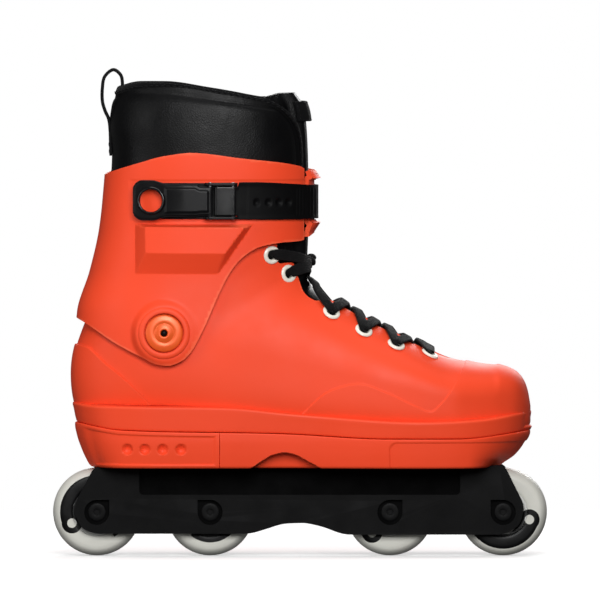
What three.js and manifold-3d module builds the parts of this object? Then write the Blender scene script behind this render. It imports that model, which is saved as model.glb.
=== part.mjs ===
// An aggressive inline skate for the right foot, as an assembly of separate pieces.
// Millimetres. +X points to the toe, -Y to the outer side with the buckle, +Z up.
// The origin is on the ground, under the middle of the frame.
import * as THREE from "three";
import { mergeVertices } from "three/addons/utils/BufferGeometryUtils.js";
import Module from "manifold-3d";

const wasm = await Module();
wasm.setup();

// Driving dimensions.
const GAP = 0.3;
const WHEEL_RADIUS = 29;
const WHEEL_HALF_WIDTH = 12;
const AXLE_X = [-134, -59.3, 59.3, 134];
const AXLE_Z = 29;
const AXLE_RADIUS = 4;
const BEARING_RADIUS = 11;
const BEARING_BORE_RADIUS = 4.15;
const BEARING_WIDTH = 7;
const HUB_RADIUS = 16;
const FRAME_HALF_WIDTH = 19;
const FRAME_SLOT = 13;
const FRAME_BOLT_X = [-82.5, 82.5];
const DECK_BOTTOM = 51.5;
const SOLE_BOTTOM = 58.6;
const SOLE_SPLIT_X = -52.8;
const SOLE_WALL = 7;
const SHELL_WALL = 4;
const LINER_WALL = 6;
const LINER_FLOOR = 94;
const CUFF_WALL = 3.5;
const CUFF_POWER = 2.4;
const PIVOT = new THREE.Vector3(-89.4, 0, 148);
const PIVOT_BOLT_RADIUS = 12.85;
const STRAP_BOTTOM = 222.8;
const STRAP_TOP = 245.9;
const BUCKLE_PIN_Y = -54.6;
const LEVER_PIN_X = -59;
const TRIGGER_PIN_X = -44;
const BUCKLE_SCREW = { x: -84, z: 234.8 };
const STRAP_SCREW = { x: -36, z: 234.3 };
const EYELET_RADIUS = 6;
const EYELET_BARREL = 4.2;
const LACE_RADIUS = 1.5;
const LACE_TOP_SAG = 4;
const SOCK_SEGMENTS = 22;

// The boot as a sock of rings. Each ring lies in a plane across the foot, from a crest point on the
// instep to a base point on the sole or the heel: crest x, crest z, base x, base z, half width,
// sideways shift, crest power and base power of its superellipse.
const SOCK = [
  [152.2, 99, 152.2, 88, 6, 8, 2.2, 2.2],
  [151, 106, 151, 84, 14, 7.5, 2.2, 2.6],
  [148.5, 113, 148.5, 82.8, 21, 7, 2.3, 3],
  [142.6, 120.8, 142.6, 81.8, 30, 6, 2.4, 3.5],
  [132, 125.3, 132, 80.9, 38, 5.2, 2.5, 4],
  [115, 127.5, 115, 79.2, 46, 4.4, 2.4, 4.5],
  [98, 130.5, 98, 78.4, 50.5, 3.4, 2.3, 4.5],
  [80, 139, 76, 78.4, 51.5, 2.2, 2.3, 4.5],
  [60, 149, 50, 78.9, 49.5, 1.4, 2.3, 4.5],
  [40, 160, 20, 80.4, 46, 0.4, 2.3, 4.5],
  [22, 171.5, -14, 81.8, 43.5, -0.6, 2.3, 4.5],
  [11, 179, -50, 82.7, 43.5, -0.8, 2.3, 4.2],
  [7, 185, -85, 83.4, 44.5, -0.6, 2.3, 3.6],
  [6, 190, -118, 84.1, 45, -0.2, 2.3, 2.9],
  [5.5, 194, -143.5, 88.6, 44.6, 0, 2.3, 2.4],
  [5.5, 198, -149, 103, 44.2, 0, 2.3, 2.3],
  [5.5, 202, -150.6, 123, 43.8, 0, 2.3, 2.3],
  [5.5, 205, -147.8, 138, 43.5, 0, 2.3, 2.3],
  [5.5, 208, -145, 146, 43.5, 0, 2.3, 2.3],
  [5.5, 211, -142, 154, 43.5, 0, 2.3, 2.3],
  [5.5, 215, -137.5, 166, 43.5, 0, 2.3, 2.3],
  [5.5, 240, -132, 188, 43.5, 0, 2.3, 2.3],
];

// The sole's outline from above: x, outer edge y, inner edge y.
const PLAN = [
  [-148.3, -6, 6], [-146.5, -15, 15], [-141, -26, 25], [-131, -36.5, 34.5], [-115, -43.5, 41],
  [-95, -46.5, 44.5], [-60, -46, 43], [-20, -45, 41.5], [10, -45.5, 44], [40, -49, 50],
  [70, -51.8, 55.5], [92, -51, 57.5], [110, -47.5, 55], [125, -41, 49.5], [137, -32, 42],
  [145, -21, 32], [149.5, -9, 22], [151.8, 2, 13],
];
const SOLE_TOP_LINE = [
  [-148.3, 88.3], [-118, 83.7], [-13, 81.5], [57.4, 78.1], [104.7, 78.1], [151.8, 82.9],
];
const SOLE_BOTTOM_LINE = [
  [-148.3, 86.5], [-143.5, 70], [-137, SOLE_BOTTOM + 1.4], [-100, SOLE_BOTTOM], [100, SOLE_BOTTOM],
  [134, SOLE_BOTTOM + 2.4], [142, 66], [148, 73.5], [151.8, 81.5],
];
const BAND_TOP_LINE = [
  [-150, 101.8], [-137, 99.9], [-52, 98.8], [0, 94.2], [81, 89.3], [116, 90.5], [152, 95.8],
];

// The cuff's outer oval at each height: rear x, front x and half width.
const CUFF_REAR = [
  [120, -148.5], [150, -148], [161, -147.2], [188, -138.9], [216, -132.6], [235, -130.4], [266, -128.4],
  [272, -128.8], [283, -130], [300, -128], [308, -125.8], [314, -121],
];
const CUFF_FRONT = [[120, 9.5], [256, 9.5], [275, 8.8], [290, 7.6], [304, 3], [314, -6]];
const CUFF_HALF_WIDTH = [[120, 49.8], [148, 50], [190, 48.6], [235, 49], [266, 50.5], [290, 50], [314, 46.5]];
const CUFF_BOTTOM_LINE = [
  [-148, 157.5], [-143.2, 155.1], [-120.7, 140.6], [-102.5, 131.2], [-87, 126.5], [-77.6, 129.8],
  [-71.5, 135.9], [-64.1, 149.4], [-52.8, 175], [-45.7, 188.4], [-38.3, 197.3], [-26.2, 204.7],
  [0.7, 208.4], [10, 213.5],
];
const CUFF_TOP_LINE = [
  [-130, 251.2], [-123.6, 254.1], [-105.3, 260.1], [-90.2, 264.3], [-71.3, 266.6], [-39.6, 263.1],
  [0.3, 257.5], [4.1, 255.4], [10, 254.5],
];
const CUFF_START = 27.5;
const CUFF_END = 380;
const SHELL_TOP_LINE = [
  [-160, 165], [-100, 172], [-60, 188], [-45, 198], [-38, 202], [-26, 206.5], [20, 208.5],
];
const LINER_FOOT_TOP_LINE = [[-160, 163], [-100, 169], [-60, 180], [-38, 193], [-26, 196], [20, 197]];
const LINER_CUFF_BOTTOM_LINE = [
  [-140, 196], [-100, 199], [-60, 210], [-40, 222], [-20, 231], [10, 233],
];
const LINER_TOP_LINE = [
  [-130, 306], [-120, 310.5], [-109, 313], [-96, 313], [-39.6, 305.3], [-24, 302.9], [10, 302],
];
const LINER_START = 52;
const TONGUE_HALF_ANGLE = 49;

// The eyelets' places on the side of the boot: x and z, from the ankle down to the toe.
const EYELETS = [
  [-18.7, 199.1], [-7.7, 186.6], [20.6, 161.1], [41.9, 149.1], [63.2, 139.8], [85.4, 133.3],
];
const THROAT = [
  [-60, 24], [-4, 24], [8, 25], [14, 23], [20, 18.5], [40, 17], [60, 15.5], [80, 13], [90, 10],
  [97, 5], [99, 1],
];

const FRAME_OUTLINE = [
  [-135.5, 59.4], [-148, 35.7], [-149.2, 29.1], [-144.2, 18.2], [-135.5, 14.9], [-32.6, 14.9],
  [-21.6, 18.2], [-11.8, 21.5], [0, 22], [4.5, 21.9], [15.1, 19.5], [25.7, 15.4], [31, 14.3],
  [134, 14.3], [144.7, 20.1], [148.2, 33], [134.7, 60.4], [100, 58.3], [-100, 58.3],
];

const look = (color, roughness, metalness = 0) => (
  new THREE.MeshStandardMaterial({ color, roughness, metalness })
);
const ORANGE = look("#f4512c", 0.45);
const BOLT_ORANGE = look("#f26a2e", 0.35, 0.3);
const BLACK_PLASTIC = look("#17181a", 0.45);
const BLACK_FABRIC = look("#141416", 0.85);
const BLACK_LEATHER = look("#161618", 0.5);
const FOAM = look("#3a3b3e", 0.9);
const CREAM = look("#efece2", 0.4);
const URETHANE = look("#dadad2", 0.35);
const HUB_WHITE = look("#c9c9c4", 0.5);
const STEEL = look("#8d9095", 0.3, 1);
const DARK_STEEL = look("#2b2c2f", 0.4, 0.8);

// ---------------------------------------------------------------- helpers

const clamp = (value, low, high) => Math.min(Math.max(value, low), high);
const lerp = (a, b, t) => a + (b - a) * t;
const radians = THREE.MathUtils.degToRad;
const signedPower = (value, power) => Math.sign(value) * Math.abs(value) ** power;

// Reads column `column` of a table whose first column rises.
function along(table, x, column = 1) {
  const last = table.length - 1;
  if (x <= table[0][0]) return table[0][column];
  if (x >= table[last][0]) return table[last][column];
  const i = table.findIndex((row) => row[0] > x);
  const t = (x - table[i - 1][0]) / (table[i][0] - table[i - 1][0]);
  return lerp(table[i - 1][column], table[i][column], t);
}

// Turns a geometry inside out when its faces point inwards.
function outward(geometry) {
  const p = geometry.attributes.position;
  const index = geometry.index;
  const corners = [0, 1, 2].map(() => new THREE.Vector3());
  let volume = 0;
  for (let i = 0; i < index.count; i += 3) {
    corners.forEach((corner, k) => corner.fromBufferAttribute(p, index.getX(i + k)));
    volume += corners[0].dot(corners[1].cross(corners[2]));
  }
  if (volume < 0) {
    for (let i = 0; i < index.count; i += 3) {
      const first = index.getX(i);
      index.setX(i, index.getX(i + 1));
      index.setX(i + 1, first);
    }
  }
  return geometry;
}

function fromPoints(points, triangles) {
  const geometry = new THREE.BufferGeometry();
  geometry.setAttribute("position", new THREE.Float32BufferAttribute(points.flatMap((p) => p.toArray()), 3));
  geometry.setIndex(triangles);
  return outward(geometry);
}

// A closed body from rings of equal length, with a fan over each end.
function loft(rings) {
  const count = rings[0].length;
  const points = rings.flat();
  const triangles = [];
  for (let r = 0; r < rings.length - 1; r += 1) {
    for (let i = 0; i < count; i += 1) {
      const a = r * count + i;
      const b = r * count + ((i + 1) % count);
      triangles.push(a, b, b + count, a, b + count, a + count);
    }
  }
  [0, rings.length - 1].forEach((r, end) => {
    const centre = new THREE.Vector3();
    rings[r].forEach((p) => centre.addScaledVector(p, 1 / count));
    points.push(centre);
    for (let i = 0; i < count; i += 1) {
      const a = r * count + i;
      const b = r * count + ((i + 1) % count);
      triangles.push(...(end ? [a, b, points.length - 1] : [b, a, points.length - 1]));
    }
  });
  return fromPoints(points, triangles);
}

// A closed sheet between two grids of points with the same rows and columns.
function slab(front, back) {
  const rows = front.length;
  const columns = front[0].length;
  const points = [...front.flat(), ...back.flat()];
  const offset = rows * columns;
  const at = (r, c) => r * columns + c;
  const triangles = [];
  for (let r = 0; r < rows - 1; r += 1) {
    for (let c = 0; c < columns - 1; c += 1) {
      const quad = [at(r, c), at(r, c + 1), at(r + 1, c + 1), at(r + 1, c)];
      triangles.push(quad[0], quad[1], quad[2], quad[0], quad[2], quad[3]);
      triangles.push(...[quad[0], quad[2], quad[1], quad[0], quad[3], quad[2]].map((i) => i + offset));
    }
  }
  const border = [];
  for (let c = 0; c < columns - 1; c += 1) border.push(at(0, c));
  for (let r = 0; r < rows - 1; r += 1) border.push(at(r, columns - 1));
  for (let c = columns - 1; c > 0; c -= 1) border.push(at(rows - 1, c));
  for (let r = rows - 1; r > 0; r -= 1) border.push(at(r, 0));
  border.forEach((a, i) => {
    const b = border[(i + 1) % border.length];
    triangles.push(b, a, a + offset, b, a + offset, b + offset);
  });
  return fromPoints(points, triangles);
}

function solid(geometry) {
  const bare = geometry.clone();
  bare.deleteAttribute("normal");
  bare.deleteAttribute("uv");
  const merged = mergeVertices(bare, 1e-4);
  const mesh = new wasm.Mesh({
    numProp: 3,
    vertProperties: new Float32Array(merged.attributes.position.array),
    triVerts: new Uint32Array(merged.index.array),
  });
  mesh.merge();
  return new wasm.Manifold(mesh);
}

function geometryOf(body) {
  const mesh = body.getMesh();
  const geometry = new THREE.BufferGeometry();
  geometry.setAttribute("position", new THREE.BufferAttribute(new Float32Array(mesh.vertProperties), 3));
  geometry.setIndex(new THREE.BufferAttribute(new Uint32Array(mesh.triVerts), 1));
  return geometry;
}

// The outer skin of a body, without the pockets that crossing tubes leave inside it.
const skinOf = (body) => body.decompose().reduce((best, piece) => (piece.volume() > best.volume() ? piece : best));
const join = (bodies) => bodies.reduce((whole, body) => whole.add(body));
const cut = (body, cutters) => cutters.reduce((left, cutter) => left.subtract(cutter), body);

function extruded(points, depth) {
  const shape = new THREE.Shape(points.map(([a, b]) => new THREE.Vector2(a, b)));
  return new THREE.ExtrudeGeometry(shape, { depth, bevelEnabled: false });
}

// A prism with an outline in the XZ plane, from y0 to y1.
function sidePrism(points, y0, y1) {
  return solid(extruded(points, y1 - y0).rotateX(Math.PI / 2).translate(0, y1, 0));
}

// A prism with an outline in the XY plane, from z0 to z1.
function planPrism(points, z0, z1) {
  return solid(extruded(points, z1 - z0).translate(0, 0, z0));
}

function block(x0, x1, y0, y1, z0, z1) {
  const box = new THREE.BoxGeometry(x1 - x0, y1 - y0, z1 - z0);
  return solid(box.translate((x0 + x1) / 2, (y0 + y1) / 2, (z0 + z1) / 2));
}

// A rod along Y (or along Z when `upright`).
function rod(radius, from, to, a, b, segments = 16, upright = false) {
  const cylinder = new THREE.CylinderGeometry(radius, radius, to - from, segments);
  if (upright) return solid(cylinder.rotateX(Math.PI / 2).translate(a, b, (from + to) / 2));
  return solid(cylinder.translate(a, (from + to) / 2, b));
}

// A body turned about an axis along Y through (x, z). The profile holds [radius, y] pairs.
function turned(profile, segments, x = 0, z = 0) {
  const points = profile.map(([r, y]) => new THREE.Vector2(r, y));
  const lathe = new THREE.LatheGeometry(points, segments, Math.PI / segments, 2 * Math.PI);
  return solid(lathe.translate(x, 0, z));
}

const skate = new THREE.Group();

function addPart(name, body, material) {
  const geometry = body instanceof THREE.BufferGeometry ? body : geometryOf(body);
  const mesh = new THREE.Mesh(outward(geometry), material);
  mesh.name = name;
  skate.add(mesh);
  return mesh;
}

// ---------------------------------------------------------------- the boot's surface

// A point of the sock: station 0 at the toe, angle 0 on the crest, positive angles on the inner side.
function sockPoint(station, angle, inset) {
  const low = clamp(Math.floor(station), 0, SOCK.length - 2);
  const [crestX, crestZ, baseX, baseZ, width, shift, crestPower, basePower] = SOCK[low].map(
    (value, k) => lerp(value, SOCK[low + 1][k], station - low),
  );
  const toe = inset * clamp((baseX - 100) / 50, 0, 1);
  const crest = new THREE.Vector3(crestX - toe, 0, crestZ);
  const base = new THREE.Vector3(baseX - toe, 0, baseZ);
  const half = Math.max(crest.distanceTo(base) / 2 - inset, 1);
  const up = crest.clone().sub(base).normalize();
  const c = Math.cos(angle);
  const power = 2 / (c > 0 ? crestPower : basePower);
  const across = Math.max(width - inset, 1) * signedPower(Math.sin(angle), power);
  return crest.add(base).multiplyScalar(0.5)
    .addScaledVector(up, half * signedPower(c, power))
    .add(new THREE.Vector3(0, across + shift, 0));
}

function sockBody(inset) {
  const turn = (2 * Math.PI) / SOCK_SEGMENTS;
  return solid(loft(SOCK.map((_, station) => (
    Array.from({ length: SOCK_SEGMENTS }, (_unused, i) => sockPoint(station, turn * i, inset))
  ))));
}

// The station and the angle at which the sock's outer side passes through (x, z).
function onSock(x, z) {
  const side = (station) => {
    const crest = sockPoint(station, 0, 0);
    const base = sockPoint(station, Math.PI, 0);
    return (crest.x - base.x) * (z - base.z) - (crest.z - base.z) * (x - base.x);
  };
  let low = 4;
  let high = SOCK.length - 1;
  for (let i = 0; i < 40; i += 1) {
    const middle = (low + high) / 2;
    if (side(middle) > 0) low = middle;
    else high = middle;
  }
  const crest = sockPoint(low, 0, 0);
  const base = sockPoint(low, Math.PI, 0);
  const t = Math.hypot(x - base.x, z - base.z) / Math.hypot(crest.x - base.x, crest.z - base.z);
  const power = along([[0, 2.3], [SOCK.length, 2.3]], low);
  return { station: low, angle: Math.acos(clamp(2 * t - 1, 0, 1) ** (power / 2)) };
}

function sockNormal(station, angle) {
  const step = 0.02;
  const alongFoot = sockPoint(station + step, angle, 0).sub(sockPoint(station - step, angle, 0));
  const around = sockPoint(station, angle + step, 0).sub(sockPoint(station, angle - step, 0));
  const normal = alongFoot.cross(around).normalize();
  return normal.y * Math.sin(angle) < 0 ? normal.negate() : normal;
}

// A point of the cuff's oval: angle 0 at the front, 90 on the outer side, 180 at the back.
function ovalPoint(angle, z, offset = 0) {
  const rear = along(CUFF_REAR, z) - offset;
  const front = along(CUFF_FRONT, z) + offset;
  const across = along(CUFF_HALF_WIDTH, z) + offset;
  const a = radians(angle);
  const x = (rear + front) / 2 + ((front - rear) / 2) * signedPower(Math.cos(a), 2 / CUFF_POWER);
  return new THREE.Vector3(x, -across * signedPower(Math.sin(a), 2 / CUFF_POWER), z);
}

function ovalAngle(x, z) {
  const rear = along(CUFF_REAR, z);
  const front = along(CUFF_FRONT, z);
  const t = clamp((2 * x - rear - front) / (front - rear), -1, 1);
  return THREE.MathUtils.radToDeg(Math.acos(signedPower(t, CUFF_POWER / 2)));
}

// The height on an edge line that the oval meets at this angle.
function edgeHeight(line, angle) {
  let z = along(line, ovalPoint(angle, 200).x);
  for (let i = 0; i < 12; i += 1) z = along(line, ovalPoint(angle, z).x);
  return z;
}

// A sheet that follows the oval between two edge lines.
function ovalSheet({ start, end, columns, rows, bottom, top, outer, inner }) {
  const grid = (offset) => Array.from({ length: rows + 1 }, (_, r) => (
    Array.from({ length: columns + 1 }, (_unused, c) => {
      const angle = lerp(start, end, c / columns);
      const z = lerp(bottom(angle), top(angle), r / rows);
      return ovalPoint(angle, z, typeof offset === "function" ? offset(angle, z) : offset);
    })
  ));
  return slab(grid(outer), grid(inner));
}

// ---------------------------------------------------------------- shell, sole plates and liner

// A body along X whose cross-section runs between two height lines and the sole's outline.
function soleLoft({ bottomLine, topLine, inset, tuck }) {
  return loft(PLAN.map(([x, outer, inner]) => {
    const end = inset * clamp(Math.abs(x) / 40 - 2.7, 0, 1);
    const at = x - Math.sign(x) * end;
    const bottom = bottomLine(x);
    const top = Math.max(topLine(x), bottom + 1);
    const middle = (inner + outer) / 2;
    const half = Math.max((inner - outer) / 2 - inset, 1);
    const low = half * (1 - tuck);
    const section = [
      [-low, bottom], [-half * (1 - tuck * 0.35), lerp(bottom, top, 0.45)], [-half, top],
      [half, top], [half * (1 - tuck * 0.35), lerp(bottom, top, 0.45)], [low, bottom],
    ];
    return section.map(([y, z]) => new THREE.Vector3(at, middle + y, z));
  }));
}

// The opening over the instep, from above, widened by `extra`.
function throatCutter(extra) {
  const side = THROAT.map(([x, half]) => [x + extra * clamp((x - 60) / 39, 0, 1), half + extra]);
  const outline = [...side, ...side.map(([x, half]) => [x, -half]).reverse()];
  const region = [[-60, 150], [-20, 120], [20, 120], [60, 118], [115, 104], [115, 240], [-60, 240]];
  return planPrism(outline, 100, 240).intersect(sidePrism(region, -60, 60));
}

// Everything above a height line.
function above(line) {
  return sidePrism([...line, [line.at(-1)[0], 400], [line[0][0], 400]], -80, 80);
}

function shellBody() {
  const band = solid(soleLoft({
    bottomLine: (x) => along(SOLE_TOP_LINE, x) + GAP,
    topLine: (x) => along(BAND_TOP_LINE, x),
    inset: 1.2,
    tuck: 0.02,
  }));
  const bosses = [-1, 1].map((side) => (
    rod(12, Math.min(side * 36, side * 43.1), Math.max(side * 36, side * 43.1), PIVOT.x, PIVOT.z, 16)
  ));
  const nutRecesses = [-1, 1].map((side) => (
    rod(8.4, Math.min(side * 30, side * 41.4), Math.max(side * 30, side * 41.4), PIVOT.x, PIVOT.z, 16)
  ));
  const eyeletHoles = EYELETS.flatMap(([x, z]) => [-1, 1].map((side) => eyeletTool(x, z, side, EYELET_BARREL + 0.25)));
  const boltHoles = FRAME_BOLT_X.map((x) => rod(3.3, 70, 95, x, 0, 12, true));
  return cut(join([sockBody(0), band, ...bosses]), [
    sockBody(SHELL_WALL),
    ...nutRecesses,
    rod(3.4, -60, 60, PIVOT.x, PIVOT.z, 12),
    throatCutter(0),
    above(SHELL_TOP_LINE),
    ...eyeletHoles,
    ...boltHoles,
  ]);
}

function linerFootBody() {
  const floor = block(-200, 200, -80, 80, LINER_FLOOR, 400);
  const padSpace = block(-200, -58, -80, 80, 0, 89.6);
  return cut(sockBody(SHELL_WALL + 0.5), [
    sockBody(SHELL_WALL + LINER_WALL).intersect(floor),
    padSpace,
    ...[[-60, -37.8], [37.8, 60]].map(([y0, y1]) => rod(9, y0, y1, PIVOT.x, PIVOT.z, 10)),
    throatCutter(9),
    above(LINER_FOOT_TOP_LINE),
  ]);
}

function insoleBody() {
  const slice = block(-200, 200, -80, 80, LINER_FLOOR + GAP, LINER_FLOOR + 4.3);
  return sockBody(SHELL_WALL + LINER_WALL + 0.6).intersect(slice);
}

function heelPadBody() {
  return sockBody(SHELL_WALL + 0.6).intersect(block(-200, -60, -80, 80, 0, 89.3));
}

// One sole plate: a tray with an open top, wells for the wheels and a hole for its bolt.
function solePlateBody(from, to) {
  const tray = cut(
    solid(soleLoft({
      bottomLine: (x) => along(SOLE_BOTTOM_LINE, x),
      topLine: (x) => along(SOLE_TOP_LINE, x),
      inset: 0,
      tuck: 0.1,
    })),
    [block(from < -100 ? SOLE_SPLIT_X - 0.2 : -200, from < -100 ? 200 : SOLE_SPLIT_X, -80, 80, 0, 200)],
  );
  const hollow = solid(soleLoft({
    bottomLine: () => 66,
    topLine: () => 110,
    inset: SOLE_WALL,
    tuck: 0.12,
  })).intersect(block(from + SOLE_WALL, to - SOLE_WALL, -80, 80, 60, 120));
  const wells = AXLE_X.map((x) => block(x - 15.5, x + 15.5, -14.5, 14.5, 50, 62.6));
  const holes = FRAME_BOLT_X.map((x) => rod(3.3, 50, 95, x, 0, 12, true));
  const arch = Array.from({ length: 13 }, (_, i) => {
    const t = i / 12;
    return [lerp(-33, 15, t), 58 + 10.7 * Math.sin(Math.PI * t ** 0.93) ** 1.3];
  });
  const arches = [[-80, -38], [38, 80]].map(([y0, y1]) => (
    sidePrism([...arch, [15, 50], [-33, 50]], y0, y1)
  ));
  return cut(tray, [hollow, ...wells, ...holes, ...arches]);
}

// ---------------------------------------------------------------- eyelets, lace and tongue

function eyeletFrame(x, z, side) {
  const { station, angle } = onSock(x, z);
  const normal = sockNormal(station, side * angle);
  const matrix = new THREE.Matrix4().makeRotationFromQuaternion(
    new THREE.Quaternion().setFromUnitVectors(new THREE.Vector3(0, 1, 0), normal),
  );
  return matrix.setPosition(sockPoint(station, side * angle, 0));
}

function eyeletTool(x, z, side, radius) {
  const cylinder = new THREE.CylinderGeometry(radius, radius, 16, 8);
  return solid(cylinder.applyMatrix4(eyeletFrame(x, z, side)));
}

function eyeletBody(x, z, side) {
  const flangeBottom = 1.1;
  const profile = [
    [3, -3.4], [EYELET_BARREL, -3.4], [EYELET_BARREL, flangeBottom], [EYELET_RADIUS, flangeBottom],
    [EYELET_RADIUS - 1, flangeBottom + 0.75], [3, flangeBottom + 0.55], [3, -3.4],
  ];
  const lathe = new THREE.LatheGeometry(profile.map(([r, y]) => new THREE.Vector2(r, y)), 8);
  return solid(lathe.applyMatrix4(eyeletFrame(x, z, side)));
}

function tube(points, radius, steps) {
  const curve = new THREE.CatmullRomCurve3(points, false, "centripetal");
  const round = new THREE.Shape([[1, 0], [0, 1], [-1, 0], [0, -1]].map(([a, b]) => (
    new THREE.Vector2(radius * a, radius * b)
  )));
  const options = { steps, extrudePath: curve, bevelEnabled: false };
  return solid(new THREE.ExtrudeGeometry(round, options));
}

// The lace: it comes out of every eyelet and crosses the throat to the next one up.
function laceBody() {
  const liftAt = (place) => -(LACE_RADIUS + (place === 0 ? 2 : 2.8));
  const places = EYELETS.map(([x, z]) => onSock(x, z));
  const strand = (from, to, side) => {
    const start = places[from];
    const end = places[to];
    const sag = to === 0 ? LACE_TOP_SAG : 0;
    const over = Array.from({ length: 9 }, (_, i) => {
      const t = i / 8;
      const bow = Math.sin(Math.PI * t);
      const station = lerp(start.station, end.station, t) - sag * bow;
      const angle = lerp(side * start.angle, -side * end.angle, t);
      return sockPoint(station, angle, lerp(liftAt(from), liftAt(to), t) - 1.5 * bow);
    });
    return tube(over, LACE_RADIUS, 6);
  };
  const strands = [strand(5, 5, 1)];
  for (let i = 1; i < EYELETS.length; i += 1) strands.push(strand(i, i - 1, 1), strand(i, i - 1, -1));
  const plugs = EYELETS.flatMap(([x, z]) => [-1, 1].map((side) => {
    const cylinder = new THREE.CylinderGeometry(2, 2, 7, 5).translate(0, 0.5, 0);
    return solid(cylinder.applyMatrix4(eyeletFrame(x, z, side)));
  }));
  const top = sockPoint((places[0].station + places[1].station) / 2 - LACE_TOP_SAG, 0, liftAt(1) - 1);
  const knot = solid(new THREE.SphereGeometry(4.4, 7, 5).scale(0.9, 1.6, 1).translate(top.x, 0, top.z));
  return skinOf(join([...plugs, ...strands, knot]));
}

// The tongue's lower half: it bulges in the throat and its edges run under the shell.
function tongueLowerBody() {
  const rows = 13;
  const columns = [-1.28, -1, -0.6, 0, 0.6, 1, 1.28];
  const firstStation = 6;
  const lastStation = 15.6;
  const grid = (thickness) => Array.from({ length: rows + 1 }, (_, r) => columns.map((t) => {
    const station = lerp(firstStation, lastStation, r / rows);
    const half = Math.max(along(THROAT, sockPoint(station, 0, 0).x), 7);
    const angle = Math.asin((Math.abs(t * half) / sockPoint(station, Math.PI / 2, 0).y) ** 1.15);
    const depth = 1.2 + 4.2 * clamp(Math.max(Math.abs(t), (10 - half) / 3) * 1.1, 0, 1) ** 2;
    return sockPoint(station, Math.sign(t) * angle, depth + thickness);
  }));
  return slab(grid(0), grid(5));
}

// ---------------------------------------------------------------- cuff

// A bevelled pad that stands out of the cuff's outer side.
function cuffPad() {
  const columns = [-108, -98, -44, -33];
  const rows = [187, 203, 217, 219.5];
  const grid = (offset) => rows.map((z, r) => columns.map((x, c) => {
    const raised = c > 0 && c < 3 && r > 0 && r < 3;
    const lean = c === 3 ? (z - 217) * 0.6 : 0;
    return ovalPoint(ovalAngle(x + lean, z), z, offset ?? (raised ? 3.2 : 0.2));
  }));
  return solid(slab(grid(undefined), grid(-1.5)));
}

function cuffBody() {
  const wall = solid(ovalSheet({
    start: CUFF_START,
    end: CUFF_END,
    columns: 46,
    rows: 3,
    bottom: (angle) => edgeHeight(CUFF_BOTTOM_LINE, angle),
    top: (angle) => edgeHeight(CUFF_TOP_LINE, angle),
    outer: 0,
    inner: -CUFF_WALL,
  }));
  const ribs = [[214.5, 220.8], [248.4, 254.2]].map(([z0, z1]) => solid(ovalSheet({
    start: 330,
    end: CUFF_END - 1,
    columns: 8,
    rows: 2,
    bottom: () => z0,
    top: () => z1,
    outer: (_, z) => 0.3 + 3.6 * (1 - Math.abs((2 * z - z0 - z1) / (z1 - z0))),
    inner: -1.5,
  })));
  const collars = [-1, 1].map((side) => (
    rod(19, Math.min(side * 46.6, side * 51.6), Math.max(side * 46.6, side * 51.6), PIVOT.x, PIVOT.z, 24)
  ));
  const seats = [-1, 1].map((side) => (
    rod(PIVOT_BOLT_RADIUS + 0.35, Math.min(side * 49.6, side * 60), Math.max(side * 49.6, side * 60), PIVOT.x, PIVOT.z, 24)
  ));
  const screwHoles = [
    rod(1.9, -60, -40, BUCKLE_SCREW.x, BUCKLE_SCREW.z, 10),
    rod(1.9, 40, 60, STRAP_SCREW.x, STRAP_SCREW.z, 10),
  ];
  const raised = join([wall, cuffPad(), ...ribs, ...collars]);
  return cut(raised, [...seats, rod(6.2, -60, 60, PIVOT.x, PIVOT.z, 16), ...screwHoles]);
}

function linerCuffBody() {
  return ovalSheet({
    start: LINER_START,
    end: 360 - LINER_START,
    columns: 32,
    rows: 5,
    bottom: (angle) => edgeHeight(LINER_CUFF_BOTTOM_LINE, angle),
    top: (angle) => edgeHeight(LINER_TOP_LINE, angle),
    outer: -CUFF_WALL - 1.2,
    inner: -CUFF_WALL - 1.2 - LINER_WALL,
  });
}

function tongueUpperBody() {
  return ovalSheet({
    start: -TONGUE_HALF_ANGLE,
    end: TONGUE_HALF_ANGLE,
    columns: 10,
    rows: 5,
    bottom: () => 224,
    top: () => 307,
    outer: -CUFF_WALL - 0.5,
    inner: -CUFF_WALL - 7,
  });
}

function tongueTabBody() {
  return ovalSheet({
    start: -13,
    end: 13,
    columns: 6,
    rows: 3,
    bottom: () => 287,
    top: () => 301.5,
    outer: -0.6,
    inner: -CUFF_WALL - 0.5 + GAP,
  });
}

function pullLoopBody() {
  const path = new THREE.CatmullRomCurve3([
    [-126.9, 274], [-128.3, 284], [-130.2, 296], [-130.4, 308], [-128.6, 317], [-123.8, 321.6],
    [-119.2, 319.4], [-117.2, 314.4],
  ].map(([x, z]) => new THREE.Vector3(x, 0, z)));
  const half = 1.2;
  const sides = path.getPoints(14).map((p, i, all) => {
    const ahead = all[Math.min(i + 1, all.length - 1)].clone().sub(all[Math.max(i - 1, 0)]).normalize();
    return { left: [p.x - ahead.z * half, p.z + ahead.x * half], right: [p.x + ahead.z * half, p.z - ahead.x * half] };
  });
  return sidePrism([...sides.map((s) => s.left), ...sides.map((s) => s.right).reverse()], -8, 8);
}

// ---------------------------------------------------------------- cuff bolts, buckle and strap

function cuffBoltBody() {
  const profile = [
    [0, -38.2], [3.2, -38.2], [3.2, -44.2], [6, -44.2], [6, -49.9], [PIVOT_BOLT_RADIUS, -49.9],
    [PIVOT_BOLT_RADIUS, -51.4], [6.4, -53], [2.6, -53.8], [2.5, -51.5], [0, -51.5],
  ];
  return turned(profile, 16);
}

function cuffNutBody() {
  return turned([[3.3, -41.2], [8, -41.2], [8, -38.6], [3.3, -38.6], [3.3, -41.2]], 12);
}

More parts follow.
